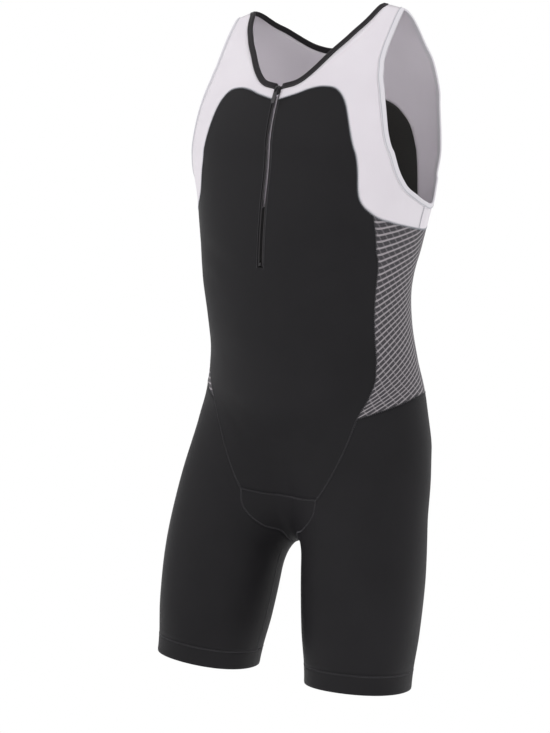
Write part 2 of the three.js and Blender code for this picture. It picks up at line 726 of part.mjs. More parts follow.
// Slider, with a lug that the pull tab's bar goes through
const wasm = await Module();
wasm.setup();
function solid(geometry) {
  const bare = geometry.clone();
  bare.deleteAttribute("normal");
  bare.deleteAttribute("uv");
  const merged = mergeVertices(bare, 1e-4);
  const mesh = new wasm.Mesh({
    numProp: 3,
    vertProperties: new Float32Array(merged.attributes.position.array),
    triVerts: new Uint32Array(merged.index.array),
  });
  return new wasm.Manifold(mesh);
}
function geometryOf(manifold) {
  const { vertProperties, triVerts } = manifold.getMesh();
  const geometry = new THREE.BufferGeometry();
  geometry.setAttribute("position", new THREE.Float32BufferAttribute(vertProperties, 3));
  return geometry.setIndex([...triVerts]);
}
function roundedPlate(width, bottom, top, corner) {
  const half = width / 2;
  const shape = new THREE.Shape();
  shape.moveTo(-half + corner, bottom);
  shape.absarc(half - corner, bottom + corner, corner, -Math.PI / 2, 0);
  shape.absarc(half - corner, top - corner, corner, 0, Math.PI / 2);
  shape.absarc(-half + corner, top - corner, corner, Math.PI / 2, Math.PI);
  shape.absarc(-half + corner, bottom + corner, corner, Math.PI, Math.PI * 1.5);
  return shape;
}

const plate = new THREE.ExtrudeGeometry(
  roundedPlate(SLIDER.width, -SLIDER.length / 2, SLIDER.length / 2, SLIDER.corner),
  { depth: SLIDER.top - SLIDER.floor, bevelEnabled: false, curveSegments: 4 },
);
plate.translate(0, 0, SLIDER.floor);
const lugSide = new THREE.Shape();
lugSide.moveTo(-LUG.radius, SLIDER.top - LUG.out - LUG.root);
lugSide.lineTo(LUG.radius, SLIDER.top - LUG.out - LUG.root);
lugSide.absarc(0, 0, LUG.radius, 0, Math.PI);
lugSide.holes.push(new THREE.Path().absarc(0, 0, LUG.hole, 0, Math.PI * 2));
const lug = new THREE.ExtrudeGeometry(lugSide, { depth: LUG.width, bevelEnabled: false, curveSegments: 8 });
lug.translate(0, 0, -LUG.width / 2).rotateY(Math.PI / 2).rotateX(Math.PI / 2).translate(0, LUG.up, LUG.out);

const pullWindow = new THREE.Path();
const pullShape = roundedPlate(PULL.width, PULL.bar / 2 - PULL.length, PULL.bar / 2, PULL.end);
pullWindow.moveTo(-PULL.window / 2, -PULL.bar / 2);
pullWindow.lineTo(-PULL.window / 2, -PULL.bar / 2 - PULL.windowLength);
pullWindow.lineTo(PULL.window / 2, -PULL.bar / 2 - PULL.windowLength);
pullWindow.lineTo(PULL.window / 2, -PULL.bar / 2);
pullShape.holes.push(pullWindow);
const pull = new THREE.ExtrudeGeometry(pullShape, {
  depth: PULL.thickness,
  bevelEnabled: false,
  curveSegments: 4,
});
pull.translate(0, 0, -PULL.thickness / 2);

// The slider's place on the zip, and its turn so that its own y runs up the zip
const sliderSeat = clothPoint(torsoChart, 0, levelAt(0, SLIDER.z));
const zipUp = new THREE.Vector3().crossVectors(sliderSeat.n, X_AXIS);
const seatTurn = new THREE.Matrix4().makeBasis(X_AXIS, zipUp, sliderSeat.n);
const slider = add("zip_slider", geometryOf(solid(plate).add(solid(lug))), METAL);
slider.position.copy(sliderSeat.p);
slider.quaternion.setFromRotationMatrix(seatTurn);
const pullTab = add("zip_pull", pull, METAL);
pullTab.position.copy(sliderSeat.p).addScaledVector(sliderSeat.n, LUG.out).addScaledVector(zipUp, LUG.up);
pullTab.quaternion.copy(slider.quaternion);

export default suit;
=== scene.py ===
"""A sleeveless one-piece triathlon suit, filled out as if it were worn, with nobody in it.

Metres, +Z up, the front faces -Y and the wearer's left is +X. Every cloth piece is a thin shell laid on
one smooth figure, and its neighbours share its seam lines.
"""

import bmesh
import bpy
import numpy as np
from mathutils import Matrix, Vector


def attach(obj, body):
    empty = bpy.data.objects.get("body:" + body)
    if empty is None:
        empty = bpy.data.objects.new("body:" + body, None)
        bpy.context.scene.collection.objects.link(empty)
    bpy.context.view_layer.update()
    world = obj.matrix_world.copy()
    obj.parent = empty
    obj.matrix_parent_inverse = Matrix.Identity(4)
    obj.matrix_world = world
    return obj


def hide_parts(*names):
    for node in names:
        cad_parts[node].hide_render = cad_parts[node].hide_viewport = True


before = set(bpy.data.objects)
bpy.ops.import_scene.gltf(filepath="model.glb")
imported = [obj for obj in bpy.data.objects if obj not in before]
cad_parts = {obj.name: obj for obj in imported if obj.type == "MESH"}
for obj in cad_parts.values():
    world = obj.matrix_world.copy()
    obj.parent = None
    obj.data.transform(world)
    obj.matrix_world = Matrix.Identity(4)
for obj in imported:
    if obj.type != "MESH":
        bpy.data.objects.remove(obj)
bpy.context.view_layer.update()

# Front panel
# The large black panel from the yokes down to the gusset, cut in one piece of matt warp-knit stretch
# cloth with a slot down its middle for the zip. Its section holds the figure that all the cloth lies on,
# the creases, and the ways to cut a panel and give it a wall.
CHEST = -0.178  # height of the chest line, above which the cloth closes over the shoulders
TRUNK = {  # rings of the trunk: half width, depths in front of and behind the middle, and cornering
    "z": [-0.178, -0.250, -0.300, -0.350, -0.400, -0.450, -0.500, -0.560, -0.620],
    "wide": [0.188, 0.168, 0.159, 0.153, 0.150, 0.154, 0.163, 0.156, 0.150],
    "front": [0.100, 0.103, 0.101, 0.094, 0.097, 0.103, 0.103, 0.086, 0.077],
    "back": [0.098, 0.099, 0.098, 0.091, 0.096, 0.101, 0.105, 0.104, 0.092],
    "middle": [-0.003, -0.010, -0.017, -0.025, -0.019, -0.008, -0.001, 0.004, 0.004],
    "corner": [0.06, 0.06, 0.05, 0.04, 0.03, 0.01, 0.0, 0.0, 0.0],
}
BOWL_Z, BOWL_DEPTH = -0.600, 0.106  # where the trunk closes below
ARCH = 0.190  # levels from the chest line to the shoulder ridge
RIDGE_Y, RIDGE_X, RIDGE_DROP = -0.002, 0.102, 1.15
SHOULDER_RISE, FRONT_SLOPE, BACK_SLOPE = 1.3, 1.8, 1.25
OTHER_SIDE = np.array([-1, 1, 1])  # from the wearer's left to the right
HIP, HEM = np.array([0.094, -0.007, -0.565]), np.array([0.111, -0.087, -0.876])
LEG = {  # rings of the leg, along its axis from the hip
    "t": [-0.060, 0.040, 0.110, 0.180, 0.250, 0.322],
    "wide": [0.068, 0.081, 0.082, 0.081, 0.076, 0.069],
    "deep": [0.062, 0.066, 0.075, 0.082, 0.082, 0.072],
}
LEG_CORNER, HIP_CAP, CROTCH_BLEND, HIP_BLEND = 0.03, 0.060, 0.026, 0.046
TURN_Z, TURN_SPAN, TURN_ANGLE, TURN_X, TURN_Y = -0.430, 0.330, 13.5, -0.008, -0.006
NORMAL_STEP, RAY_STEP, RAY_END, HALVINGS = 0.0006, 0.004, 0.4, 16  # steps in search of the figure's skin
TURN_STEP, LEVEL_STEP, CROWN_STEP = 0.01, 2e-6, 1e-5  # steps across the chart, for its slopes
WELD_STEPS, SAME_PLACE = 2e5, 1e-6  # places are one within a step of 1 m / WELD_STEPS
FINE = 5  # the cloth's grid has this many cells for each cell of the cut
OUTER, INNER = 0.0006, -0.0006  # the cloth's faces, from the figure


def row_at(table, along):
    """A table's columns at each place along its first one: cubic curves, level at both ends."""
    key, *columns = [np.array(c, float) for c in table.values()]
    if key[0] > key[-1]:
        key, columns = key[::-1], [c[::-1] for c in columns]
    at = np.clip(along, key[0], key[-1])
    i = np.clip(np.searchsorted(key, at, "right") - 1, 0, len(key) - 2)
    span = key[i + 1] - key[i]
    t = (at - key[i]) / span
    out = []
    for c in columns:
        slope = np.zeros(len(key))
        slope[1:-1] = (c[2:] - c[:-2]) / (key[2:] - key[:-2])
        out.append((2 * t**3 - 3 * t**2 + 1) * c[i] + (t**3 - 2 * t**2 + t) * span * slope[i]
                   + (3 * t**2 - 2 * t**3) * c[i + 1] + (t**3 - t**2) * span * slope[i + 1])
    return out


def ellipse_distance(u, v, wide, deep, corner, cap):
    """About how far a point lies outside a rounded ellipse: its reach times 1 - 1 / (its share of it)."""
    swell = 1 + corner * np.sin(2 * np.arctan2(u / wide, v / deep)) ** 2
    share = np.sqrt((u / wide / swell) ** 2 + (v / deep / swell) ** 2 + cap**2)
    return np.sqrt(u**2 + v**2 + (cap * deep) ** 2) * (1 - 1 / np.maximum(share, 0.01))


def smooth_union(a, b, blend):
    """The lesser of two distances, with a quadratic fillet where they are within blend."""
    share = np.maximum(blend - np.abs(a - b), 0) / blend
    return np.minimum(a, b) - share**2 * blend / 4


LEG_DOWN = (HEM - HIP) / np.linalg.norm(HEM - HIP)
LEG_OUT = np.array([1.0, 0, 0]) - LEG_DOWN[0] * LEG_DOWN
LEG_OUT /= np.linalg.norm(LEG_OUT)
LEG_BACK = np.cross(LEG_OUT, LEG_DOWN)
LEG_LENGTH = np.linalg.norm(HEM - HIP)


def leg_distance(p):
    """Distance outside the wearer's left leg, a row of ellipses with a cap over the hip."""
    r = p - HIP
    along = r @ LEG_DOWN
    wide, deep = row_at(LEG, along)
    cap = np.maximum(0, -along / HIP_CAP)
    return ellipse_distance(r @ LEG_OUT, r @ LEG_BACK, wide, deep, LEG_CORNER, cap)


def figure_distance(p):
    """Distance outside the whole figure: the trunk and both legs, blended."""
    wide, front, back, middle, corner = row_at(TRUNK, p[:, 2])
    dy = p[:, 1] - middle
    cap = np.maximum(0, (BOWL_Z - p[:, 2]) / BOWL_DEPTH)
    trunk = ellipse_distance(p[:, 0], dy, wide, np.where(dy < 0, front, back), corner, cap)
    legs = smooth_union(leg_distance(p), leg_distance(p * OTHER_SIDE), CROTCH_BLEND)
    return smooth_union(trunk, legs, HIP_BLEND)


def figure_normal(p):
    """The distance's slope along x, y and z, made one long."""
    e = NORMAL_STEP * np.eye(3)
    n = np.stack([figure_distance(p + d) - figure_distance(p - d) for d in e], 1)
    return n / np.linalg.norm(n, axis=1, keepdims=True)


def leave_figure(start, way):
    """The first place where each ray comes out of the figure: steps of 4 mm, then halving."""
    start = np.broadcast_to(start, way.shape)
    far = np.full(len(way), RAY_STEP)
    inside = np.arange(len(way))
    while len(inside):
        d = figure_distance(start[inside] + far[inside, None] * way[inside])
        inside = inside[(d <= 0) & (far[inside] < RAY_END)]
        far[inside] += RAY_STEP
    near = far - RAY_STEP
    for _ in range(HALVINGS):
        middle = (near + far) / 2
        out = figure_distance(start + middle[:, None] * way) > 0
        near, far = np.where(out, near, middle), np.where(out, middle, far)
    return start + near[:, None] * way


def ridge_z(x):
    """Height of the shoulders' ridge: a parabola that falls away from the neck."""
    return RIDGE_DROP * (RIDGE_X**2 - x**2)


class TrunkChart:
    """u is the angle round the body from the centre front, v the level above the chest line."""

    def point(self, q):
        """Below the chest line, where a level ray leaves the figure. Above it the ring closes towards
        the ridge by a power of cos(rise) and climbs by a power of sin(rise)."""
        u, v = np.radians(q[:, 0]), q[:, 1]
        wide, front, back, middle, corner = row_at(TRUNK, CHEST + np.minimum(v, 0))
        swell = 1 + corner * np.sin(2 * u) ** 2
        x = wide * np.sin(u) * swell
        y = -np.where(np.cos(u) > 0, front, back) * np.cos(u) * swell
        rise = np.clip(v / ARCH, 0, 1) * np.pi / 2
        reach = np.maximum(np.cos(rise), 0) ** np.where(np.cos(u) > 0, FRONT_SLOPE, BACK_SLOPE)
        p = np.stack([x, RIDGE_Y + (middle + y - RIDGE_Y) * reach,
                      CHEST + (ridge_z(x) - CHEST) * np.sin(rise) ** SHOULDER_RISE], 1)
        low = np.flatnonzero(v <= 0)
        way = np.stack([x, y, 0 * x], 1)[low]
        start = np.stack([0 * x, middle, CHEST + v], 1)[low]
        p[low] = leave_figure(start, way / np.linalg.norm(way, axis=1, keepdims=True))
        return p

    def normal(self, q, p):
        """The figure's own normal below the chest line, and above it the cross product of the chart's
        two directions."""
        n = np.zeros_like(p)
        low = q[:, 1] <= 0
        if low.any():
            n[low] = figure_normal(p[low])
        if (~low).any():
            r = q[~low]
            step = np.where(r[:, 1] > ARCH / 2, -LEVEL_STEP, LEVEL_STEP)
            across = self.point(r + [TURN_STEP, 0]) - self.point(r - [TURN_STEP, 0])
            up = (self.point(r + np.stack([0 * step, step], 1)) - p[~low]) * np.sign(step)[:, None]
            m = np.cross(across, up)
            top = r[:, 1] >= ARCH - 1e-7
            over = np.stack([-across[:, 2], 0 * step, across[:, 0]], 1) * np.sign(across[:, :1])
            m = np.where(top[:, None], over, m)
            n[~low] = m / np.linalg.norm(m, axis=1, keepdims=True)
        return n

    def locate(self, p):
        """The coordinates of places below the chest line."""
        wide, front, back, middle, _ = row_at(TRUNK, p[:, 2])
        dy = p[:, 1] - middle
        u = np.degrees(np.arctan2(p[:, 0] / wide, -dy / np.where(dy < 0, front, back)))
        return np.stack([u, p[:, 2] - CHEST], 1)


TRUNK_CHART = TrunkChart()


def level_at(turn, z):
    """The chart's level of a height z at an angle round the body."""
    x = TRUNK_CHART.point(np.stack([turn, 1e-6 + 0 * turn], 1))[:, 0]
    share = np.clip((z - CHEST) / (ridge_z(x) - CHEST), 0, 1)
    return np.where(z <= CHEST, z - CHEST, np.arcsin(share ** (1 / SHOULDER_RISE)) / (np.pi / 2) * ARCH)


def run_along(p):
    """Length along a row of places, from its start to each."""
    return np.concatenate([[0], np.cumsum(np.linalg.norm(np.diff(p, axis=0), axis=1))])


class Line:
    """Points of the cloth on the even figure: a chart, coordinates q, places p and normals n."""

    def __init__(self, chart, q, p=None, n=None):
        self.chart, self.q = chart, np.asarray(q, float)
        self.p = chart.point(self.q) if p is None else p
        self.n = chart.normal(self.q, self.p) if n is None else n

    def __getitem__(self, cut):
        return Line(self.chart, self.q[cut], self.p[cut], self.n[cut])

    def flip(self):
        """The same line on the wearer's other side."""
        return Line(self.chart, self.q * [-1, 1], self.p * OTHER_SIDE, self.n * OTHER_SIDE)

    def within(self, chart):
        """The line's coordinates in a chart."""
        return self.q if chart is self.chart else chart.locate(self.p)


def joined(*lines):
    """One line out of several that may lie in different charts. It keeps its places and normals."""
    return Line(lines[0].chart, *[np.concatenate([getattr(c, k) for c in lines]) for k in "qpn"])


def curve_through(stops, t):
    """A centripetal Catmull-Rom curve through the stops, at t in stops: each stretch is the cubic whose
    tangents come from knots spaced by the square root of the stops' distances."""
    pts = np.vstack([2 * stops[0] - stops[1], stops, 2 * stops[-1] - stops[-2]])
    i = np.clip(t.astype(int), 0, len(stops) - 2)
    w = (t - i)[:, None]
    a, b, c, d = pts[i], pts[i + 1], pts[i + 2], pts[i + 3]
    h = [np.sqrt(np.linalg.norm(y - x, axis=1, keepdims=True)) for x, y in ((a, b), (b, c), (c, d))]
    m1 = ((b - a) / h[0] - (c - a) / (h[0] + h[1]) + (c - b) / h[1]) * h[1]
    m2 = ((c - b) / h[1] - (d - b) / (h[1] + h[2]) + (d - c) / h[2]) * h[1]
    return b + m1 * w + (3 * (c - b) - 2 * m1 - m2) * w**2 + (2 * (b - c) + m1 + m2) * w**3


def seam(chart, stops, cells):
    """A smooth line through chart coordinates. cells holds, for each stop that ends a stretch, how many
    cells of the cut that stretch has, evenly spaced along the cloth."""
    stops = np.array(stops, float)
    out, start = [stops[:1]], 0
    for stop, count in cells.items():
        fine = curve_through(stops, np.linspace(start, stop, count * 16 + 1))
        length = run_along(chart.point(fine))
        goal = np.linspace(0, length[-1], count * FINE + 1)[1:]
        out.append(np.stack([np.interp(goal, length, fine[:, k]) for k in (0, 1)], 1))
        start = stop
    return Line(chart, np.concatenate(out))


def trunk_seam(turns, heights, cells):
    """A smooth line on the trunk through angles round the body and heights."""
    turns, heights = np.array(turns, float), np.array(heights, float)
    return seam(TRUNK_CHART, np.stack([turns, level_at(turns, heights)], 1), cells)


def patch(chart, top, bottom, left, right):
    """A grid inside four lines that meet at their ends: the two rulings' sum less the corners' blend."""
    t, b, l, r = [line.within(chart) for line in (top, bottom, left, right)]
    y, x = np.linspace(0, 1, len(l))[:, None, None], np.linspace(0, 1, len(t))[None, :, None]
    q = (1 - y) * t[None] + y * b[None] + (1 - x) * l[:, None] + x * r[:, None]
    q = q - (1 - x) * (1 - y) * t[0] - x * (1 - y) * t[-1] - (1 - x) * y * b[0] - x * y * b[-1]
    grid = Line(chart, q.reshape(-1, 2))
    shape = q.shape[:2]
    p, n = grid.p.reshape(*shape, 3), grid.n.reshape(*shape, 3)
    for field, key in ((p, "p"), (n, "n")):
        field[:, 0], field[:, -1] = getattr(left, key), getattr(right, key)
        field[0], field[-1] = getattr(top, key), getattr(bottom, key)
    return p, n


CREASES = [  # ends as turn and height, depth (below zero is a ridge) and half width
    ((48, -0.262), (14, -0.318), 0.0011, 0.013),
    ((57, -0.300), (26, -0.345), 0.0013, 0.011),
    ((60, -0.345), (33, -0.372), 0.0009, 0.010),
    ((-47, -0.300), (-16, -0.330), 0.0012, 0.012),
    ((-58, -0.338), (-30, -0.352), 0.0010, 0.009),
    ((-50, -0.385), (-22, -0.372), 0.0007, 0.010),
    ((112, -0.322), (150, -0.348), 0.0016, 0.012),
    ((118, -0.352), (163, -0.372), 0.0013, 0.010),
    ((-110, -0.330), (-152, -0.342), 0.0015, 0.012),
    ((-121, -0.366), (-160, -0.380), 0.0012, 0.010),
    ((135, -0.402), (176, -0.392), 0.0010, 0.011),
    ((30, -0.520), (12, -0.590), 0.0009, 0.010),
    ((-31, -0.522), (-11, -0.588), 0.0008, 0.010),
    ((46, -0.150), (36, -0.215), 0.0010, 0.009),
    ((-46, -0.146), (-37, -0.210), 0.0009, 0.009),
    ((128, -0.236), (158, -0.262), 0.0011, 0.011),
    ((-130, -0.240), (-156, -0.258), 0.0010, 0.011),
]
DIMPLES_ROUND, DIMPLES_UP, FEWEST_DIMPLES = 0.0028, 8, 8  # widths of a crease for each degree and metre
FADE = 0.8  # power of the sine by which a crease dies away to its ends
dimples = []
for start, end, depth, width in CREASES:
    reach = DIMPLES_ROUND * abs(end[0] - start[0]) + DIMPLES_UP * abs(end[1] - start[1])
    count = int(np.ceil(reach / width)) + FEWEST_DIMPLES
    s = np.linspace(0, 1, count)
    turns, heights = [start[k] + (end[k] - start[k]) * s for k in (0, 1)]
    places = TRUNK_CHART.point(np.stack([turns, level_at(turns, heights)], 1))
    spacing = np.linalg.norm(places[-1] - places[0]) / (count - 1)
    share = depth * np.sin(np.pi * s) ** FADE * spacing / (width * np.sqrt(np.pi))
    dimples += [(p, a, width) for p, a in zip(places, share)]


def creased(p, n):
    """Cloth pushed along its normal by soft dimples, each a depth times exp(-(distance / width)^2)."""
    push = np.zeros(len(p))
    for place, depth, width in dimples:
        push -= depth * np.exp(-((p - place) ** 2).sum(1) / width**2)
    return p + push[:, None] * n


def stance(p):
    """How far the stance turns each place of the even figure: a smooth share that grows below the waist."""
    t = np.clip((TURN_Z - p[:, 2]) / TURN_SPAN, 0, 1)
    return t * t * (3 - 2 * t)


def turned(p, share):
    """Places or normals turned about z by their share of the stance's angle."""
    a = share * np.radians(TURN_ANGLE)
    return np.stack([p[:, 0] * np.cos(a) - p[:, 1] * np.sin(a),
                     p[:, 0] * np.sin(a) + p[:, 1] * np.cos(a), p[:, 2]], 1)


def stand_on_creases(p, n):
    """Places of the worn suit: creased, then turned with the stance and shifted a little."""
    p = creased(p, n)
    share = stance(p)
    return turned(p, share) + share[:, None] * np.array([TURN_X, TURN_Y, 0])


def stood_normals(p, n):
    """Normals turned with the stance."""
    return turned(n, stance(p))


def mesh_object(name, verts, faces, uvs=None):
    """A mesh with smooth faces, whose corners may carry a UV map in metres."""
    mesh = bpy.data.meshes.new(name)
    mesh.from_pydata(verts.tolist(), [], faces)
    if uvs is not None:
        layer = mesh.uv_layers.new(name="cloth")
        layer.data.foreach_set("uv", uvs.astype(np.float32).ravel())
    mesh.shade_smooth()
    mesh.validate()
    obj = bpy.data.objects.new(name, mesh)
    bpy.context.scene.collection.objects.link(obj)
    return obj


def grid_uv(p):
    """UV in metres over a grid of points: the mean lengths of its rows and columns, shared evenly."""
    down = np.linalg.norm(np.diff(p, axis=0), axis=2).sum(0).mean()
    across = np.linalg.norm(np.diff(p, axis=1), axis=2).sum(1).mean()
    y, x = np.linspace(0, down, p.shape[0]), np.linspace(0, across, p.shape[1])
    return np.stack(np.broadcast_arrays(x[None, :], -y[:, None]), 2)


def cut_piece(name, grids, outer=OUTER, inner=INNER, roll=0.0):
    """A closed cloth wall on grids (places, normals, UV): welded, creased and stood, with its outer and
    inner faces along the normals and a rim on every free edge. roll draws the outer face in at the rim."""
    places, normals, quads, uvs, base = [], [], [], [], 0
    for p, n, uv in grids:
        rows, cols = p.shape[:2]
        k = base + np.arange(rows * cols).reshape(rows, cols)
        quads.append(np.stack([k[:-1, :-1], k[1:, :-1], k[1:, 1:], k[:-1, 1:]], 2).reshape(-1, 4))
        uvs.append(uv.reshape(-1, 2))
        places.append(p.reshape(-1, 3))
        normals.append(n.reshape(-1, 3))
        base += rows * cols
    p, n, uv, quads = [np.concatenate(c) for c in (places, normals, uvs, quads)]
    corner_uv = uv[quads]
    steps = np.round(p * WELD_STEPS).astype(int)
    _, first, back = np.unique(steps, axis=0, return_index=True, return_inverse=True)
    p, n, quads = p[first], n[first], back.reshape(-1)[quads]
    a, b, c, d = [p[quads[:, k]] for k in range(4)]
    facing = np.einsum("ij,ij->i", np.cross(c - a, d - b), n[quads[:, 0]]) < 0
    quads[facing], corner_uv[facing] = quads[facing][:, ::-1], corner_uv[facing][:, ::-1]
    keep = np.array([len(set(q)) > 2 for q in quads.tolist()])
    quads, corner_uv = quads[keep], corner_uv[keep]
    edges = np.concatenate([np.stack([quads[:, k], quads[:, (k + 1) % 4]], 1) for k in range(4)])
    edge_uv = np.concatenate([np.stack([corner_uv[:, k], corner_uv[:, (k + 1) % 4]], 1) for k in range(4)])
    real = edges[:, 0] != edges[:, 1]
    edges, edge_uv = edges[real], edge_uv[real]
    _, where, count = np.unique(np.sort(edges, axis=1), axis=0, return_index=True, return_counts=True)
    rim, rim_uv = edges[where[count == 1]], edge_uv[where[count == 1]]
    p = stand_on_creases(p, n)
    m = stood_normals(p, n)
    edge_of = np.zeros(len(p), bool)
    edge_of[rim.ravel()] = True
    top = p + (outer - roll * edge_of)[:, None] * m
    under = len(p)
    verts = np.concatenate([top, p + inner * m])
    walls = np.stack([rim[:, 0], rim[:, 0] + under, rim[:, 1] + under, rim[:, 1]], 1)
    wall_uv = rim_uv[:, [0, 0, 1, 1]]
    faces = np.concatenate([quads, quads[:, ::-1] + under, walls])
    uvs = np.concatenate([corner_uv, corner_uv[:, ::-1], wall_uv])
    obj = mesh_object(name, verts, faces.tolist(), uvs.reshape(-1, 2))
    welder = bmesh.new()
    welder.from_mesh(obj.data)
    bmesh.ops.dissolve_degenerate(welder, dist=SAME_PLACE, edges=welder.edges)
    welder.to_mesh(obj.data)
    welder.free()
    return obj


def sheet_grid(p, n):
    """A grid of places and normals with its UV."""
    return p, n, grid_uv(p)


def mirrored(grid):
    """The same grid on the wearer's other side."""
    return grid[0] * OTHER_SIDE, grid[1] * OTHER_SIDE, grid[2] * [-1, 1]


yoke_edge = trunk_seam(
    [1.31, 5, 9.5, 14.5, 20.5, 26.5, 30.8, 33.4, 36, 39.5, 43.5, 53.2, 64.3, 78, 94, 108, 122, 136, 143,
     148, 151, 156, 161.5, 168, 180],
    [-0.116, -0.113, -0.109, -0.1035, -0.101, -0.106, -0.122, -0.142, -0.167, -0.200, -0.232, -0.255, -0.264,
     -0.270, -0.275, -0.277, -0.272, -0.254, -0.232, -0.194, -0.157, -0.131, -0.118, -0.112, -0.109],
    {6: 8, 11: 6, 14: 4, 16: 4, 20: 6, 24: 8})
zip_edge = trunk_seam([1.31, 1.31, 1.45, 1.58, 1.65, 1.55, 1.6],
                      [-0.116, -0.178, -0.250, -0.325, -0.400, -0.500, -0.634], {3: 7, 6: 11})
side_front = trunk_seam(
    [53.2, 59, 63.8, 63.5, 61.4, 54.5, 44, 30, 17],
    [-0.255, -0.295, -0.360, -0.410, -0.450, -0.482, -0.514, -0.570, -0.628], {6: 9, 8: 3})
gusset_front = trunk_seam([1.6, 9, 17], [-0.634, -0.633, -0.628], {2: 8})
# places on the yokes' edge: the strap, the side panel's front, the side seam, its back, the back's strap
BUMP, SIDE_START, SIDE_SEAM, SIDE_END, BACK_BUMP = [FINE * k for k in (8, 14, 18, 22, 28)]
SLOT, SIDE_ROWS = 7 * FINE, 9 * FINE
front_side = joined(yoke_edge[BUMP:SIDE_START], side_front)
front_grid = sheet_grid(*patch(TRUNK_CHART, yoke_edge[: BUMP + 1], gusset_front, zip_edge, front_side))
below_zip = zip_edge[SLOT:]
right_edge = below_zip.flip()
under_zip = sheet_grid(np.stack([below_zip.p, right_edge.p], 1), np.stack([below_zip.n, right_edge.n], 1))
front_panel = cut_piece("front_panel_cloth", [front_grid, mirrored(front_grid), under_zip])


class Field:
    """A value in a material. Arithmetic on it adds Math nodes; node() adds any other."""

    def __init__(self, tree, socket):
        self.tree, self.socket = tree, socket

    def node(self, kind, settings=None, out=0, **inputs):
        """A node of this kind, with its settings, then its sockets by name or number: a link or a value."""
        made = self.tree.nodes.new(kind)
        for key, value in (settings or {}).items():
            if key == "stops":
                ramp = made.color_ramp
                while len(ramp.elements) < len(value):
                    ramp.elements.new(0.5)
                for element, (place, colour) in zip(ramp.elements, value):
                    element.position, element.color = place, colour
            else:
                setattr(made, key, value)
        for key, value in inputs.items():
            numbered = key[0] == "i" and key[1:].isdigit()
            socket = made.inputs[int(key[1:]) if numbered else key.replace("_", " ")]
            if isinstance(value, Field):
                self.tree.links.new(value.socket, socket)
            else:
                socket.default_value = value
        return Field(self.tree, made.outputs[out])

    def math(self, operation, *others):
        """A Math node on this and the others."""
        sockets = {f"i{k}": value for k, value in enumerate((self, *others))}
        return self.node("ShaderNodeMath", {"operation": operation}, **sockets)

    def __add__(self, other):
        return self.math("ADD", other)

    def __radd__(self, other):
        return self.math("ADD", other)

    def __sub__(self, other):
        return self.math("SUBTRACT", other)

    def __rsub__(self, other):
        return self.node("ShaderNodeMath", {"operation": "SUBTRACT"}, i0=other, i1=self)

    def __mul__(self, other):
        return self.math("MULTIPLY", other)

    def __rmul__(self, other):
        return self.math("MULTIPLY", other)

    def step(self, low, high):
        """A soft step from 0 at low to 1 at high."""
        return self.node("ShaderNodeMapRange", {"interpolation_type": "SMOOTHSTEP"},
                         i0=self, i1=low, i2=high, i3=0.0, i4=1.0)

    def noise(self, scale, detail=3.0):
        """Cloudy noise at this place, with so many features a metre."""
        return self.node("ShaderNodeTexNoise", i2=scale, i3=detail, i0=self)

    def mix(self, a, b):
        """Colour a where this is 0 and colour b where it is 1."""
        return self.node("ShaderNodeMix", {"data_type": "RGBA"}, out=2, i0=self, i6=a, i7=b)

    def bump(self, height, strength):
        """A normal for a relief of this height."""
        return self.node("ShaderNodeBump", Distance=height, Strength=strength, Height=self)


def finish_of(name, paint, **constants):
    """A material whose principled shader has these constants, and what paint(object place, u, v) returns
    for its sockets."""
    material = bpy.data.materials.new(name)
    material.use_nodes = True
    tree = material.node_tree
    shader = next(n for n in tree.nodes if n.type == "BSDF_PRINCIPLED")
    for key, value in constants.items():
        shader.inputs[key.replace("_", " ")].default_value = value
    coordinate = tree.nodes.new("ShaderNodeTexCoord")
    place = Field(tree, coordinate.outputs["Object"])
    split = tree.nodes.new("ShaderNodeSeparateXYZ")
    tree.links.new(coordinate.outputs["UV"], split.inputs[0])
    u, v = Field(tree, split.outputs[0]), Field(tree, split.outputs[1])
    for key, value in paint(place, u, v).items():
        tree.links.new(value.socket, shader.inputs[key.replace("_", " ")])
    return material


WALE, COURSE, LOOP_SLOPE = 0.0009, 0.0007, 1.2  # columns and rows of the knit, and how its loops lean


def knit(u, v):
    """Height of a warp knit: round columns, each crossed by the slope of its loops."""
    column = (u * (2 * np.pi / WALE)).math("SINE")
    row = (v * (2 * np.pi / COURSE) + column * LOOP_SLOPE).math("SINE")
    return column * 0.5 + row * 0.35


def black_paint(place, u, v):
    """Near black with faint clouds and specks, over the knit."""
    cloud = place.noise(9.0)
    speck = place.noise(900.0, 2.0)
    tone = cloud * 0.7 + speck * 0.3
    return {
        "Base_Color": tone.step(0.25, 0.75).mix((0.0082, 0.0076, 0.0088, 1), (0.0138, 0.0129, 0.0146, 1)),
        "Roughness": cloud.step(0.3, 0.7) * 0.10 + 0.52,
        "Normal": knit(u, v).bump(0.0002, 0.35),
    }


black_cloth = finish_of("black stretch cloth", black_paint, Sheen_Weight=0.012, Sheen_Roughness=0.4,
                        Sheen_Tint=(0.80, 0.76, 0.84, 1), Specular_IOR_Level=0.13)


def sewn(piece, material, slot, *nodes):
    """Finish a piece, and have it ride with the suit and stand for its solids."""
    piece.data.materials.append(material)
    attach(piece, "suit")
    if nodes:
        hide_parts(*nodes)


def cloth(piece, material, slot, node, trims=()):
    """A panel: sewn in for one solid. trims, the trims that it carries, is not used."""
    sewn(piece, material, slot, node)


cloth(front_panel, black_cloth, "black_cloth", "front_panel")

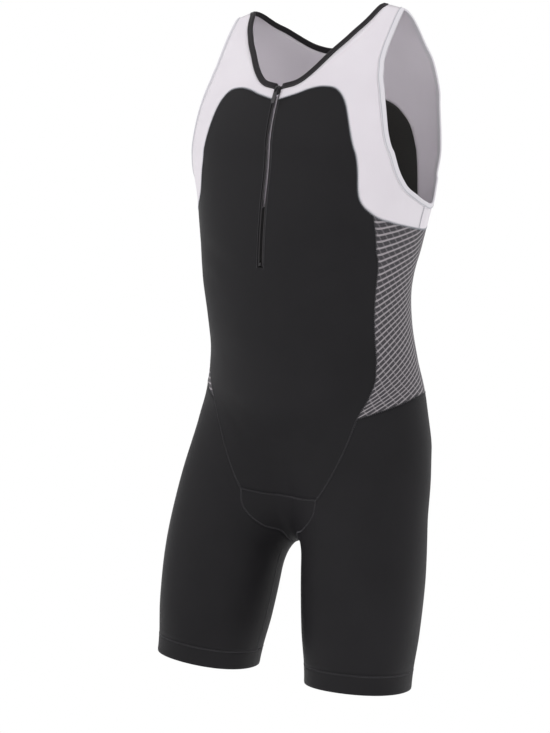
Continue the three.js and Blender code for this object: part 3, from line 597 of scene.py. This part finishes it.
# Back panel
# The dark back from the shoulder blades to the seat, in a fine airy mesh that lets sweat out. It is cut
# in one piece and its lower edge meets both legs above the seat.
leg_top = trunk_seam([44, 55, 65, 88, 110, 124, 150, 180],
                     [-0.514, -0.506, -0.500, -0.491, -0.493, -0.496, -0.500, -0.500], {5: 8, 7: 8})
side_back = trunk_seam([122, 124, 125, 124], [-0.272, -0.350, -0.430, -0.496], {3: 9})
SIDE_COLUMNS = 8 * FINE
waist_back = leg_top[SIDE_COLUMNS:]
back_side = joined(yoke_edge[SIDE_END + 1: BACK_BUMP + 1][::-1], side_back)


def chart_line(a, b, cells):
    """A line of so many fine cells between two points of the trunk's chart."""
    return seam(TRUNK_CHART, [a.q, b.q], {1: cells})


def resampled(line, count):
    """The same line with count points, evenly spaced."""
    length = run_along(line.p)
    goal = np.linspace(0, length[-1], count)
    return Line(line.chart, np.stack([np.interp(goal, length, line.q[:, k]) for k in (0, 1)], 1))


middle_back = resampled(chart_line(yoke_edge[-1], waist_back[-1], 15), len(back_side.q))
back_grid = sheet_grid(*patch(TRUNK_CHART, yoke_edge[BACK_BUMP:], waist_back, back_side, middle_back))
back_panel = cut_piece("back_panel_cloth", [back_grid, mirrored(back_grid)])
HOLE, SIDE_HOLE = 0.0021, 0.0018  # eyelets of the back and of the side panels are this far apart
ACROSS, DOWN = 0.5, 0.866  # direction of the slanting rows, 60 degrees from the level ones
EYELET_RIM, EYELET_MIDDLE = 0.4, 1.9  # where the rows' sum leaves the yarn and reaches the open eyelet


def net(u, v, pitch=HOLE):
    """A net of round eyelets in staggered rows: 1 on the yarn and 0 in the eyelets."""
    a = (u * (2 * np.pi / pitch)).math("COSINE")
    b = ((u * ACROSS + v * DOWN) * (2 * np.pi / pitch)).math("COSINE")
    c = ((u * ACROSS - v * DOWN) * (2 * np.pi / pitch)).math("COSINE")
    return 1 - (a + b + c).step(EYELET_RIM, EYELET_MIDDLE)


def back_paint(place, u, v):
    """Dark yarn, with painted shade in the eyelets: the shaded inside of the suit seen through them is
    painted as a darker colour.
    """
    yarn = net(u, v)
    cloud = place.noise(14.0)
    shade = yarn * 0.75 + cloud * 0.25
    return {
        # Painted shade: the eyelets get the near-black colour of the shaded inside seen through them, and the
        # yarn a lighter dark.
        "Base_Color": shade.mix((0.004, 0.004, 0.0035, 1), (0.033, 0.031, 0.029, 1)),
        "Roughness": cloud * 0.12 + 0.55,
        "Normal": yarn.bump(0.0003, 0.5),
    }


back_mesh = finish_of("dark back mesh", back_paint, Sheen_Weight=0.05, Sheen_Roughness=0.5,
                      Specular_IOR_Level=0.2)
cloth(back_panel, back_mesh, "mesh_cloth", "back_panel")

# Side panels
# A shaped mesh panel from each armpit to the hip, between the front and the back. Its generic print is
# fine pale pinstripes that slope up to the back, with a fainter set across them.
side_grid = sheet_grid(*patch(TRUNK_CHART, yoke_edge[SIDE_START: SIDE_END + 1], leg_top[: SIDE_COLUMNS + 1],
                              side_front[: SIDE_ROWS + 1], side_back))
STRIPE, STRIPE_WIDTH, STRIPE_SLOPE = 0.0072, 0.20, 0.50
CROSS, CROSS_WIDTH, CROSS_SLOPE, CROSS_SHARE = 0.0145, 0.10, -1.35, 0.38
PRINT_SHARE = 0.92


def stripes(u, v, pitch, slope, width):
    """Straight lines across the cloth: 1 within width of each line's middle, as a share of the pitch."""
    across = (v - u * slope) * (1 / pitch)
    return 1 - (across.math("PINGPONG", 0.5)).step(width * 0.5, width)


def side_paint(place, u, v):
    """Pale pinstripes printed on dark mesh, fainter over the eyelets, with painted shade in the eyelets,
    which are darker than the yarn.
    """
    yarn = net(u, v, SIDE_HOLE)
    lines = stripes(u, v, STRIPE, STRIPE_SLOPE, STRIPE_WIDTH)
    crossing = stripes(u, v, CROSS, CROSS_SLOPE, CROSS_WIDTH)
    ink = (lines + crossing * CROSS_SHARE).math("MINIMUM", 1.0) * (yarn * 0.45 + 0.55)
    # Painted shade: the ground is darker in the eyelets for the shaded inside seen through them.
    ground = yarn.mix((0.012, 0.0115, 0.013, 1), (0.060, 0.056, 0.063, 1))
    return {
        "Base_Color": (ink * PRINT_SHARE).mix(ground, (0.36, 0.33, 0.35, 1)),
        "Roughness": place.noise(14.0) * 0.10 + 0.55,
        "Normal": yarn.bump(0.0003, 0.45),
    }


pinstripe_mesh = finish_of("pinstriped side mesh", side_paint, Sheen_Weight=0.03, Sheen_Roughness=0.5,
                           Specular_IOR_Level=0.15)
for hand, grid in (("left", side_grid), ("right", mirrored(side_grid))):
    panel = cut_piece(f"side_panel_{hand}_cloth", [grid])
    cloth(panel, pinstripe_mesh, "mesh_cloth", f"side_panel_{hand}")

# Bindings
# Folded elastic strips over the raw edges: black round the neck, and white round the armholes with a
# grey stitch line. They are rounded, a little thicker than the cloth, and closed on the shoulders.
NECK_BINDING, ARM_BINDING = 0.008, 0.0065
neck_front = trunk_seam([1.31, 8, 13, 18, 23.5, 28.5, 31.3],
                        [-0.097, -0.091, -0.077, -0.057, -0.036, -0.013, 0.002], {6: 8})
neck_back = trunk_seam([148.7, 152.5, 158.3, 165.5, 172, 180],
                       [0.002, -0.009, -0.022, -0.038, -0.046, -0.049], {5: 8})
armhole = trunk_seam(
    [42, 42, 41.8, 43, 46, 49, 52, 57, 66, 80, 94, 107, 118, 127, 131, 130.5, 128.5, 130, 135, 138],
    [0.002, -0.027, -0.055, -0.082, -0.108, -0.134, -0.163, -0.192, -0.217, -0.232, -0.241, -0.245, -0.240,
     -0.217, -0.185, -0.142, -0.105, -0.073, -0.039, 0.002], {10: 15, 19: 15})


def beside(line, width):
    """The line moved over the cloth to its right by a width, solved in the chart's two directions. Its
    ends slide along the ridge, the centre or the zip's edge."""
    q, p, n = line.q, line.p, line.n
    top = q[:, 1] >= ARCH - 1e-9
    du = (TRUNK_CHART.point(q + [TURN_STEP, 0]) - TRUNK_CHART.point(q - [TURN_STEP, 0])) / (2 * TURN_STEP)
    high = np.minimum(q[:, 1] + CROWN_STEP, ARCH)
    low = q[:, 1] - np.where(top, 2 * CROWN_STEP, CROWN_STEP)
    dv = TRUNK_CHART.point(np.stack([q[:, 0], high], 1)) - TRUNK_CHART.point(np.stack([q[:, 0], low], 1))
    dv /= (high - low)[:, None]
    before, after = p[np.r_[0, : len(p) - 1]], p[np.r_[1: len(p), len(p) - 1]]
    side = np.cross(after - before, n)
    side /= np.linalg.norm(side, axis=1, keepdims=True)
    a, b, d = [(x * y).sum(1) for x, y in ((du, du), (du, dv), (dv, dv))]
    f, g = (du * side).sum(1) * width, (dv * side).sum(1) * width
    det = np.maximum(a * d - b * b, 1e-18)
    move = np.stack([(f * d - g * b) / det, (g * a - f * b) / det], 1)
    out = np.stack([q[:, 0] + move[:, 0], np.minimum(q[:, 1] + move[:, 1], ARCH)], 1)
    for end, near in ((0, 1), (-1, -2)):
        if top[end]:
            way = np.sign(q[end, 1] - q[near, 1]) * (1 if end else -1)
            out[end] = q[end, 0] + way * width / np.linalg.norm(du[end]), ARCH
        else:
            slope = (q[near, 1] - q[end, 1]) / (q[near, 0] - q[end, 0])
            out[end] = q[end, 0], q[end, 1] + move[end, 1] - slope * move[end, 0]
    return Line(TRUNK_CHART, out)


neck_front_seam, neck_back_seam = beside(neck_front, NECK_BINDING), beside(neck_back, NECK_BINDING)
arm_seam = beside(armhole, ARM_BINDING)
ARM_SEAM = 15 * FINE


def ruled(chart, first, last, rows, unwrap=lambda q: q):
    """Rows of cloth between two lines with as many points each, evenly spaced in the chart."""
    a, b = unwrap(first.within(chart)), unwrap(last.within(chart))
    y = np.linspace(0, 1, rows + 1)[:, None, None]
    q = (1 - y) * a[None] + y * b[None]
    grid = Line(chart, q.reshape(-1, 2))
    p, n = grid.p.reshape(rows + 1, -1, 3), grid.n.reshape(rows + 1, -1, 3)
    p[0], p[-1], n[0], n[-1] = first.p, last.p, first.n, last.n
    return p, n


BINDING_OUT, BINDING_IN, BINDING_ROLL = 0.0013, -0.0014, 0.0007
RIB = 0.0011  # the elastic's ribs


def binding_grid(inner_line, outer_line, rows=8):
    """Rows from the free edge to the seam, evenly spaced in the chart."""
    return sheet_grid(*ruled(TRUNK_CHART, inner_line, outer_line, rows))


def binding_paint(low, high):
    """The paint of a ribbed elastic between two tones."""
    def paint(place, u, v):
        """Ribs across the strip, under a faint cloud."""
        rib = (u * (2 * np.pi / RIB)).math("SINE") * 0.5 + 0.5
        cloud = place.noise(40.0)
        return {
            "Base_Color": (cloud * 0.6 + rib * 0.4).mix(low, high),
            "Roughness": cloud * 0.1 + 0.5,
            "Normal": rib.bump(0.00015, 0.5),
        }
    return paint


black_elastic = binding_paint((0.009, 0.0075, 0.009, 1), (0.019, 0.016, 0.019, 1))
white_elastic = binding_paint((0.60, 0.58, 0.62, 1), (0.72, 0.70, 0.74, 1))
black_binding = finish_of("black elastic binding", black_elastic,
                          Sheen_Weight=0.03, Sheen_Roughness=0.4, Specular_IOR_Level=0.15)
white_binding = finish_of("white elastic binding", white_elastic,
                          Sheen_Weight=0.12, Sheen_Roughness=0.4, Specular_IOR_Level=0.35)
left_neck = [binding_grid(neck_front, neck_front_seam), binding_grid(neck_back, neck_back_seam)]
neck_grids = left_neck + [mirrored(g) for g in left_neck]
neck = cut_piece("neck_binding_cloth", neck_grids, BINDING_OUT, BINDING_IN, BINDING_ROLL)
sewn(neck, black_binding, "binding_trim", "neck_binding")
arm_grid = binding_grid(armhole, arm_seam)
arm_bindings = {}
for hand, grid in (("left", arm_grid), ("right", mirrored(arm_grid))):
    name = f"armhole_binding_{hand}_cloth"
    arm_bindings[hand] = cut_piece(name, [grid], BINDING_OUT, BINDING_IN, BINDING_ROLL)
    sewn(arm_bindings[hand], white_binding, "white_cloth", f"armhole_binding_{hand}")

# Yokes
# White stretch cloth over the shoulders: two fronts, each with a tongue beside the zip and a strip round
# the armhole, and one back. The fronts and the back are joined on top of the shoulders and at the sides.
def yoke(neck_seam, arm, edge):
    """The tongue from the zip to the strap, and the strip from the strap round the armhole."""
    strap = chart_line(neck_seam[-1], edge[BUMP], 5)
    centre = chart_line(neck_seam[0], edge[0], 5)
    tongue = patch(TRUNK_CHART, neck_seam, edge[: BUMP + 1], centre, strap)
    band = ruled(TRUNK_CHART, joined(strap, edge[BUMP + 1:]), arm, 3 * FINE)
    return [sheet_grid(*tongue), sheet_grid(*band)]


def white_paint(place, u, v):
    """Cool white with faint clouds, over the knit."""
    cloud = place.noise(7.0)
    return {
        "Base_Color": cloud.step(0.3, 0.7).mix((0.66, 0.625, 0.665, 1), (0.71, 0.675, 0.715, 1)),
        "Roughness": cloud * 0.08 + 0.62,
        "Normal": knit(u, v).bump(0.0002, 0.25),
    }


white_cloth = finish_of("white stretch cloth", white_paint, Sheen_Weight=0.08, Sheen_Roughness=0.5,
                        Specular_IOR_Level=0.25, Subsurface_Weight=0.5, Subsurface_Radius=(1, 0.95, 1),
                        Subsurface_Scale=0.002)
front_yoke = yoke(neck_front_seam, arm_seam[: ARM_SEAM + 1], yoke_edge[: SIDE_SEAM + 1])
back_yoke = yoke(neck_back_seam[::-1], arm_seam[ARM_SEAM:][::-1], yoke_edge[SIDE_SEAM:][::-1])
for hand, grids in (("left", front_yoke), ("right", [mirrored(g) for g in front_yoke])):
    panel = cut_piece(f"yoke_front_{hand}_cloth", grids)
    cloth(panel, white_cloth, "white_cloth", f"yoke_front_{hand}",
          [arm_bindings[hand]])
panel = cut_piece("yoke_back_cloth", back_yoke + [mirrored(g) for g in back_yoke])
cloth(panel, white_cloth, "white_cloth", "yoke_back", [neck])

# Gusset
# A small shaped piece under the crotch, between the front panel and both legs, in the same black cloth.
# Its flat front seam crosses the front, and its point runs back between the legs.
CROTCH_Y, CROTCH_Z = -0.020, -0.610


class CrotchChart:
    """u is x, and v the angle from straight forward, under the crotch, to straight back."""

    def point(self, q):
        """Where a ray from under the crotch, in the plane of this x, leaves the figure."""
        v = np.radians(q[:, 1])
        start = np.stack([q[:, 0], CROTCH_Y + 0 * v, CROTCH_Z + 0 * v], 1)
        return leave_figure(start, np.stack([0 * v, -np.cos(v), -np.sin(v)], 1))

    def normal(self, q, p):
        """The figure's own normal."""
        return figure_normal(p)

    def locate(self, p):
        """The coordinates of places under the crotch."""
        return np.stack([p[:, 0], np.degrees(np.arctan2(CROTCH_Z - p[:, 2], CROTCH_Y - p[:, 1]))], 1)


CROTCH_CHART = CrotchChart()
gusset_corner = CROTCH_CHART.locate(gusset_front.p[-1:])[0]
gusset_edge = seam(CROTCH_CHART, [gusset_corner, (0.053, 27), (0.031, 45), (0.013, 61), (0.008, 74),
                                  (0.007, 90), (0.005, 108), (0.0, 125)], {5: 6, 7: 3})
gusset_top = joined(gusset_front.flip()[::-1], gusset_front)
gusset_end = gusset_edge[np.full(len(gusset_top.q), -1)]
gusset_grid = sheet_grid(*patch(CROTCH_CHART, gusset_top, gusset_end, gusset_edge.flip(), gusset_edge))
gusset = cut_piece("gusset_cloth", [gusset_grid])
cloth(gusset, black_cloth, "black_cloth", "gusset")

# Hem bands
# A folded band of the black cloth round each hem, turned up and sewn to the leg.
HEM_BAND, BAND_OUT, BAND_IN, BAND_ROLL = 0.024, 0.0009, -0.0009, 0.0004


class LegChart:
    """u is the angle round the leg from its outside towards the back, v the distance below the hip."""

    def point(self, q):
        """Where a ray square to the leg's axis leaves the figure."""
        u = np.radians(q[:, :1])
        return leave_figure(HIP + q[:, 1:] * LEG_DOWN, np.cos(u) * LEG_OUT + np.sin(u) * LEG_BACK)

    def normal(self, q, p):
        """The figure's own normal."""
        return figure_normal(p)

    def locate(self, p):
        """The coordinates of places on the leg."""
        r = p - HIP
        return np.stack([np.degrees(np.arctan2(r @ LEG_BACK, r @ LEG_OUT)), r @ LEG_DOWN], 1)


LEG_CHART = LegChart()
hem_turns = np.interp(np.arange(34 * FINE + 1), np.array([0, 9, 25, 34]) * FINE, [-180, -88, 70, 180])


def ring_at(v):
    """A ring round the leg, so far below the hip."""
    return Line(LEG_CHART, np.stack([hem_turns, v + 0 * hem_turns], 1))


band_top = ring_at(LEG_LENGTH - HEM_BAND)
band_rows = np.linspace(LEG_LENGTH - HEM_BAND, LEG_LENGTH, 2 * FINE + 1)
rings = [ring_at(v) for v in band_rows]
band_grid = sheet_grid(np.stack([r.p for r in rings]), np.stack([r.n for r in rings]))
hem_bands = {}
for hand, grid in (("left", band_grid), ("right", mirrored(band_grid))):
    hem_bands[hand] = cut_piece(f"hem_band_{hand}_cloth", [grid], BAND_OUT, BAND_IN, BAND_ROLL)
    sewn(hem_bands[hand], black_cloth, "black_cloth", f"hem_band_{hand}")

# Legs
# Each leg is one piece of black cloth that wraps all round the thigh from the inseam. Its top edge
# follows the gusset, the front, the side panel and the back, and the seat seam down the middle.
INSEAM = 6 * FINE
seat_top = CROTCH_CHART.locate(waist_back.p[-1:])[0, 1] + 360
seat_seam = seam(CROTCH_CHART, [(0, seat_top), (0, gusset_edge.q[-1, 1])], {1: 6})
leg_edge = joined(gusset_edge[: INSEAM + 1][::-1], side_front[SIDE_ROWS:-1][::-1], leg_top[1:], seat_seam[1:],
                  gusset_edge[INSEAM:-1][::-1])


def unwrapped(q):
    """Angles that run on round the leg from -180 degrees with no jump."""
    u = np.degrees(np.unwrap(np.radians(q[:, 0])))
    return np.stack([u - 360 * np.round((u[0] + 180) / 360), q[:, 1]], 1)


leg_grid = sheet_grid(*ruled(LEG_CHART, leg_edge, band_top, 8 * FINE, unwrapped))
for hand, grid in (("left", leg_grid), ("right", mirrored(leg_grid))):
    panel = cut_piece(f"leg_{hand}_cloth", [grid])
    cloth(panel, black_cloth, "black_cloth", f"leg_{hand}", [hem_bands[hand]])

# Seams
# The pieces meet edge to edge under flatlock seams: a thread that zigzags over both edges, dark grey on
# the black and lilac grey on the white. The needle rows beside the zip and round the bindings are finer.
STITCH_STEPS, STITCH_ARCH = 8, 0.00012
TUBE_SIDES, OFF_SEAM = 5, np.array([0.31, 0.17, 0.93])  # OFF_SEAM is a direction that no seam keeps to


def thread_path(line, width, pitch, lift, offset=0.0):
    """A line's places moved sideways by offset and by a sine of this width and pitch, and lifted off the
    cloth. It is sampled eight times a stitch."""
    p, n = stand_on_creases(line.p, line.n), stood_normals(line.p, line.n)
    length = run_along(p)
    s = np.linspace(0, length[-1], max(int(length[-1] / pitch * STITCH_STEPS), STITCH_STEPS))
    p, n = [np.stack([np.interp(s, length, c[:, k]) for k in range(3)], 1) for c in (p, n)]
    side = np.cross(np.gradient(p, axis=0), n)
    side /= np.linalg.norm(side, axis=1, keepdims=True)
    wave = np.sin(2 * np.pi * s / pitch)
    rise = lift + STITCH_ARCH * np.cos(4 * np.pi * s / pitch)
    return p + (offset + wave * width / 2)[:, None] * side + rise[:, None] * n


def tube(paths, radius, sides=TUBE_SIDES):
    """Closed tubes along paths: a ring of points about each place, in the plane across the path."""
    verts, faces, base = [], [], 0
    turn = np.linspace(0, 2 * np.pi, sides, endpoint=False)
    for path in paths:
        along = np.gradient(path, axis=0)
        along /= np.linalg.norm(along, axis=1, keepdims=True) + 1e-12
        across = np.cross(along, OFF_SEAM)
        across /= np.linalg.norm(across, axis=1, keepdims=True)
        up = np.cross(across, along)
        ring = path[:, None] + radius * (np.cos(turn)[None, :, None] * across[:, None]
                                         + np.sin(turn)[None, :, None] * up[:, None])
        k = base + np.arange(len(path) * sides).reshape(-1, sides)
        around = np.roll(k, -1, axis=1)
        faces += np.stack([k[:-1], around[:-1], around[1:], k[1:]], 2).reshape(-1, 4).tolist()
        faces += [k[0, ::-1].tolist(), k[-1].tolist()]
        verts.append(ring.reshape(-1, 3))
        base += len(path) * sides
    return np.concatenate(verts), faces


def tube_piece(name, paths, radius, material, slot, *nodes):
    """Tubes as one smooth piece, sewn to the suit."""
    sewn(mesh_object(name, *tube(paths, radius)), material, slot, *nodes)


def thread_paint(colour):
    """The paint of a twisted thread of one colour."""
    def paint(place, u, v):
        """The colour, with painted shade between its plies: darker in a fine noise."""
        # Painted shade: a fine noise darkens the thread's colour, standing for the shade between its plies.
        ply_shade = place.noise(1500.0, 1.0)
        return {"Base_Color": ply_shade.mix(tuple(0.7 * c for c in colour) + (1,), colour + (1,)),
                "Roughness": ply_shade * 0.2 + 0.35}
    return paint


dark_thread = finish_of("dark grey thread", thread_paint((0.060, 0.058, 0.064)), Specular_IOR_Level=0.4)
grey_thread = finish_of("lilac grey thread", thread_paint((0.40, 0.42, 0.46)), Specular_IOR_Level=0.4)
THREAD, BINDING_THREAD = 0.00022, 0.00026  # radii
NEEDLE_INSET = 0.0012  # of the stitching, from the binding's seam
FLATLOCK = {"width": 0.0026, "pitch": 0.0026, "lift": 0.0007}
NEEDLE = {"width": 0.0003, "pitch": 0.0030, "lift": 0.0006}
BINDING_NEEDLE = {"width": 0.0003, "pitch": 0.0028, "lift": 0.0014}
side_seam = chart_line(arm_seam[ARM_SEAM], yoke_edge[SIDE_SEAM], 5)
INSEAM_POINTS, INSEAM_START = 60, 0.012
inseam_top = leg_edge.within(LEG_CHART)[0, 1] + INSEAM_START
inseam_v = np.linspace(inseam_top, LEG_LENGTH, INSEAM_POINTS)
inseam = Line(LEG_CHART, np.stack([np.full(INSEAM_POINTS, -180.0), inseam_v], 1))
dark_lines = [side_front, side_back, leg_top, seat_seam, gusset_edge, band_top, inseam]


def both_sides(lines):
    """Each line, then the same one on the wearer's other side."""
    return [line for left in lines for line in (left, left.flip())]


def stitched(lines, stitch):
    """The thread's path along each line, in one stitch."""
    return [thread_path(line, **stitch) for line in lines]


dark_paths = stitched(both_sides(dark_lines) + [gusset_top], FLATLOCK)
tube_piece("dark_seams", dark_paths, THREAD, dark_thread, "black_cloth")
yoke_paths = stitched(both_sides([yoke_edge, side_seam]), FLATLOCK)
tube_piece("yoke_seams", yoke_paths, THREAD, grey_thread, "white_cloth")
arm_paths = stitched(both_sides([beside(armhole, ARM_BINDING - NEEDLE_INSET)]), BINDING_NEEDLE)
tube_piece("armhole_stitching", arm_paths, BINDING_THREAD, grey_thread, "white_cloth")
neck_needles = [beside(line, NECK_BINDING - NEEDLE_INSET) for line in (neck_front, neck_back)]
neck_paths = stitched(both_sides(neck_needles), BINDING_NEEDLE)
tube_piece("neck_stitching", neck_paths, THREAD, dark_thread, "binding_trim")
ZIP_NEEDLE = 0.0058  # from the zip's middle to the stitching that holds its tapes
needle_z = np.linspace(-0.118, -0.326, 60)
needle_turn = np.degrees(np.arcsin(ZIP_NEEDLE / row_at(TRUNK, np.minimum(needle_z, CHEST))[0]))
zip_needle = Line(TRUNK_CHART, np.stack([needle_turn, level_at(needle_turn, needle_z)], 1))
tube_piece("zip_stitching", stitched(both_sides([zip_needle]), NEEDLE), THREAD, dark_thread, "black_cloth")

# Zip
# A fine nylon coil zip from the neck to the middle of the front: two coils whose loops mesh, on woven
# tapes, with a bottom stop. The slider stays at the top, and its pull tab swings on the slider's lug.
COIL_PITCH, COIL_REACH, COIL_MIDDLE = 0.0012, 0.00062, 0.00072
COIL_LIFT, COIL_HEIGHT, COIL_WIRE, COIL_STEPS = 0.0002, 0.0004, 0.00024, 10
zip_z = np.linspace(-0.113, -0.317, 200)
zip_line = Line(TRUNK_CHART, np.stack([0 * zip_z, level_at(0 * zip_z, zip_z)], 1))
length = run_along(zip_line.p)
s = np.arange(0, length[-1], COIL_PITCH / COIL_STEPS)
centre = np.stack([np.interp(s, length, zip_line.p[:, k]) for k in range(3)], 1)
outward = np.stack([np.interp(s, length, zip_line.n[:, k]) for k in range(3)], 1)
coils = []
for hand, phase in ((1, 0.0), (-1, np.pi)):
    a = 2 * np.pi * s / COIL_PITCH + phase
    across = hand * (COIL_MIDDLE + COIL_REACH * np.cos(a))
    height = COIL_LIFT + COIL_HEIGHT * np.sin(a)
    coils.append(centre + across[:, None] * np.array([1.0, 0, 0]) + height[:, None] * outward)


def nylon_paint(place, u, v):
    """Black nylon, a little uneven."""
    speck = place.noise(300.0)
    return {"Base_Color": speck.mix((0.006, 0.0055, 0.006, 1), (0.014, 0.013, 0.014, 1)),
            "Roughness": speck * 0.15 + 0.45}


nylon = finish_of("black nylon coil", nylon_paint, Specular_IOR_Level=0.15)
tube_piece("zip_coil_loops", coils, COIL_WIRE, nylon, "zip_nylon", "zip_coil")


TAPE_PICK, TAPE_END = 0.0008, 0.0006  # the weave's threads across the tape and along it


def tape_paint(place, u, v):
    """A plain weave: the product of two sines."""
    up = place.node("ShaderNodeSeparateXYZ", out=2, i0=place)
    across = place.node("ShaderNodeSeparateXYZ", out=0, i0=place)
    pick, end = (up * (2 * np.pi / TAPE_PICK)).math("SINE"), (across * (2 * np.pi / TAPE_END)).math("SINE")
    weave = pick * end * 0.5 + 0.5
    return {"Base_Color": weave.mix((0.010, 0.009, 0.010, 1), (0.026, 0.023, 0.026, 1)),
            "Roughness": weave * 0.1 + 0.6, "Normal": weave.bump(0.0002, 0.5)}


tape = finish_of("woven zip tape", tape_paint, Sheen_Weight=0.1, Specular_IOR_Level=0.3)
for node in ("zip_tape_left", "zip_tape_right"):
    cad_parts[node].data.materials.clear()
    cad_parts[node].data.materials.append(tape)


def lacquer_paint(place, u, v):
    """Black lacquer with small worn patches."""
    wear = place.noise(420.0, 4.0).step(0.58, 0.72)
    return {"Base_Color": wear.mix((0.018, 0.017, 0.019, 1), (0.10, 0.095, 0.10, 1)),
            "Roughness": place.noise(200.0) * 0.25 + 0.22, "Metallic": wear * 0.5 + 0.4}


lacquer = finish_of("black lacquered metal", lacquer_paint, Coat_Roughness=0.2)
FLAT_ANGLE = 0.01
BEVELS = {"zip_slider": (0.00045, "suit"), "zip_pull": (0.00035, "pull_tab"), "zip_stop": (0.0003, "suit")}
for node, (bevel, body) in BEVELS.items():
    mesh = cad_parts[node].data.copy()
    merged = bmesh.new()
    merged.from_mesh(mesh)
    bmesh.ops.remove_doubles(merged, verts=merged.verts, dist=SAME_PLACE)
    bmesh.ops.dissolve_limit(merged, angle_limit=FLAT_ANGLE, verts=merged.verts, edges=merged.edges)
    merged.to_mesh(mesh)
    merged.free()
    mesh.materials.clear()
    mesh.materials.append(lacquer)
    mesh.shade_smooth()
    piece = bpy.data.objects.new(f"{node}_metal", mesh)
    bpy.context.scene.collection.objects.link(piece)
    rounding = piece.modifiers.new("rounded edges", "BEVEL")
    rounding.width, rounding.segments, rounding.limit_method = bevel, 3, "ANGLE"
    rounding.harden_normals = True
    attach(piece, body)
    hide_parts(node)

# Lights, floor and camera
# A floor that glows as white as the world round it, so that no horizon shows, soft light from large
# panels, and the camera at the photograph's angle.
FLOOR_Z, FLOOR_REACH = -0.98, 60
floor_corners = [[x * FLOOR_REACH, y * FLOOR_REACH, FLOOR_Z] for x, y in ((-1, -1), (1, -1), (1, 1), (-1, 1))]
floor = mesh_object("floor", np.array(floor_corners), [[0, 1, 2, 3]])
floor.data.materials.append(finish_of("pale floor", lambda place, u, v: {}, Base_Color=(0, 0, 0, 1),
                                      Specular_IOR_Level=0, Emission_Color=(1, 1, 1, 1), Emission_Strength=1))
world = bpy.data.worlds.new("studio")
world.use_nodes = True
world.node_tree.nodes["Background"].inputs["Color"].default_value = (1, 1, 1, 1)
world.node_tree.nodes["Background"].inputs["Strength"].default_value = 1.0
bpy.context.scene.world = world
bpy.context.scene.view_settings.view_transform = "Standard"
for name, place, size, watts in (("key", (-1.6, -2.6, 1.6), 1.8, 16), ("fill", (2.8, -1.6, 0.6), 2.0, 6),
                                 ("back", (0.5, 3.0, 1.4), 2.0, 8)):
    lamp = bpy.data.lights.new(name, "AREA")
    lamp.size, lamp.energy = size, watts
    light = bpy.data.objects.new(name, lamp)
    light.location = place
    light.rotation_euler = (Vector((0, 0, -0.4)) - Vector(place)).to_track_quat("-Z", "Y").to_euler()
    bpy.context.scene.collection.objects.link(light)

EYE, LOOK = Vector((0.9914, -1.3577, -0.1423)), Vector((-0.6043, 0.7733, -0.1920))
lens = bpy.data.cameras.new("camera")
lens.sensor_fit, lens.sensor_width, lens.lens = "HORIZONTAL", 36, 82.31
camera = bpy.data.objects.new("camera", lens)
camera.location = EYE
camera.rotation_euler = LOOK.to_track_quat("-Z", "Y").to_euler()
bpy.context.scene.collection.objects.link(camera)
bpy.context.scene.camera = camera
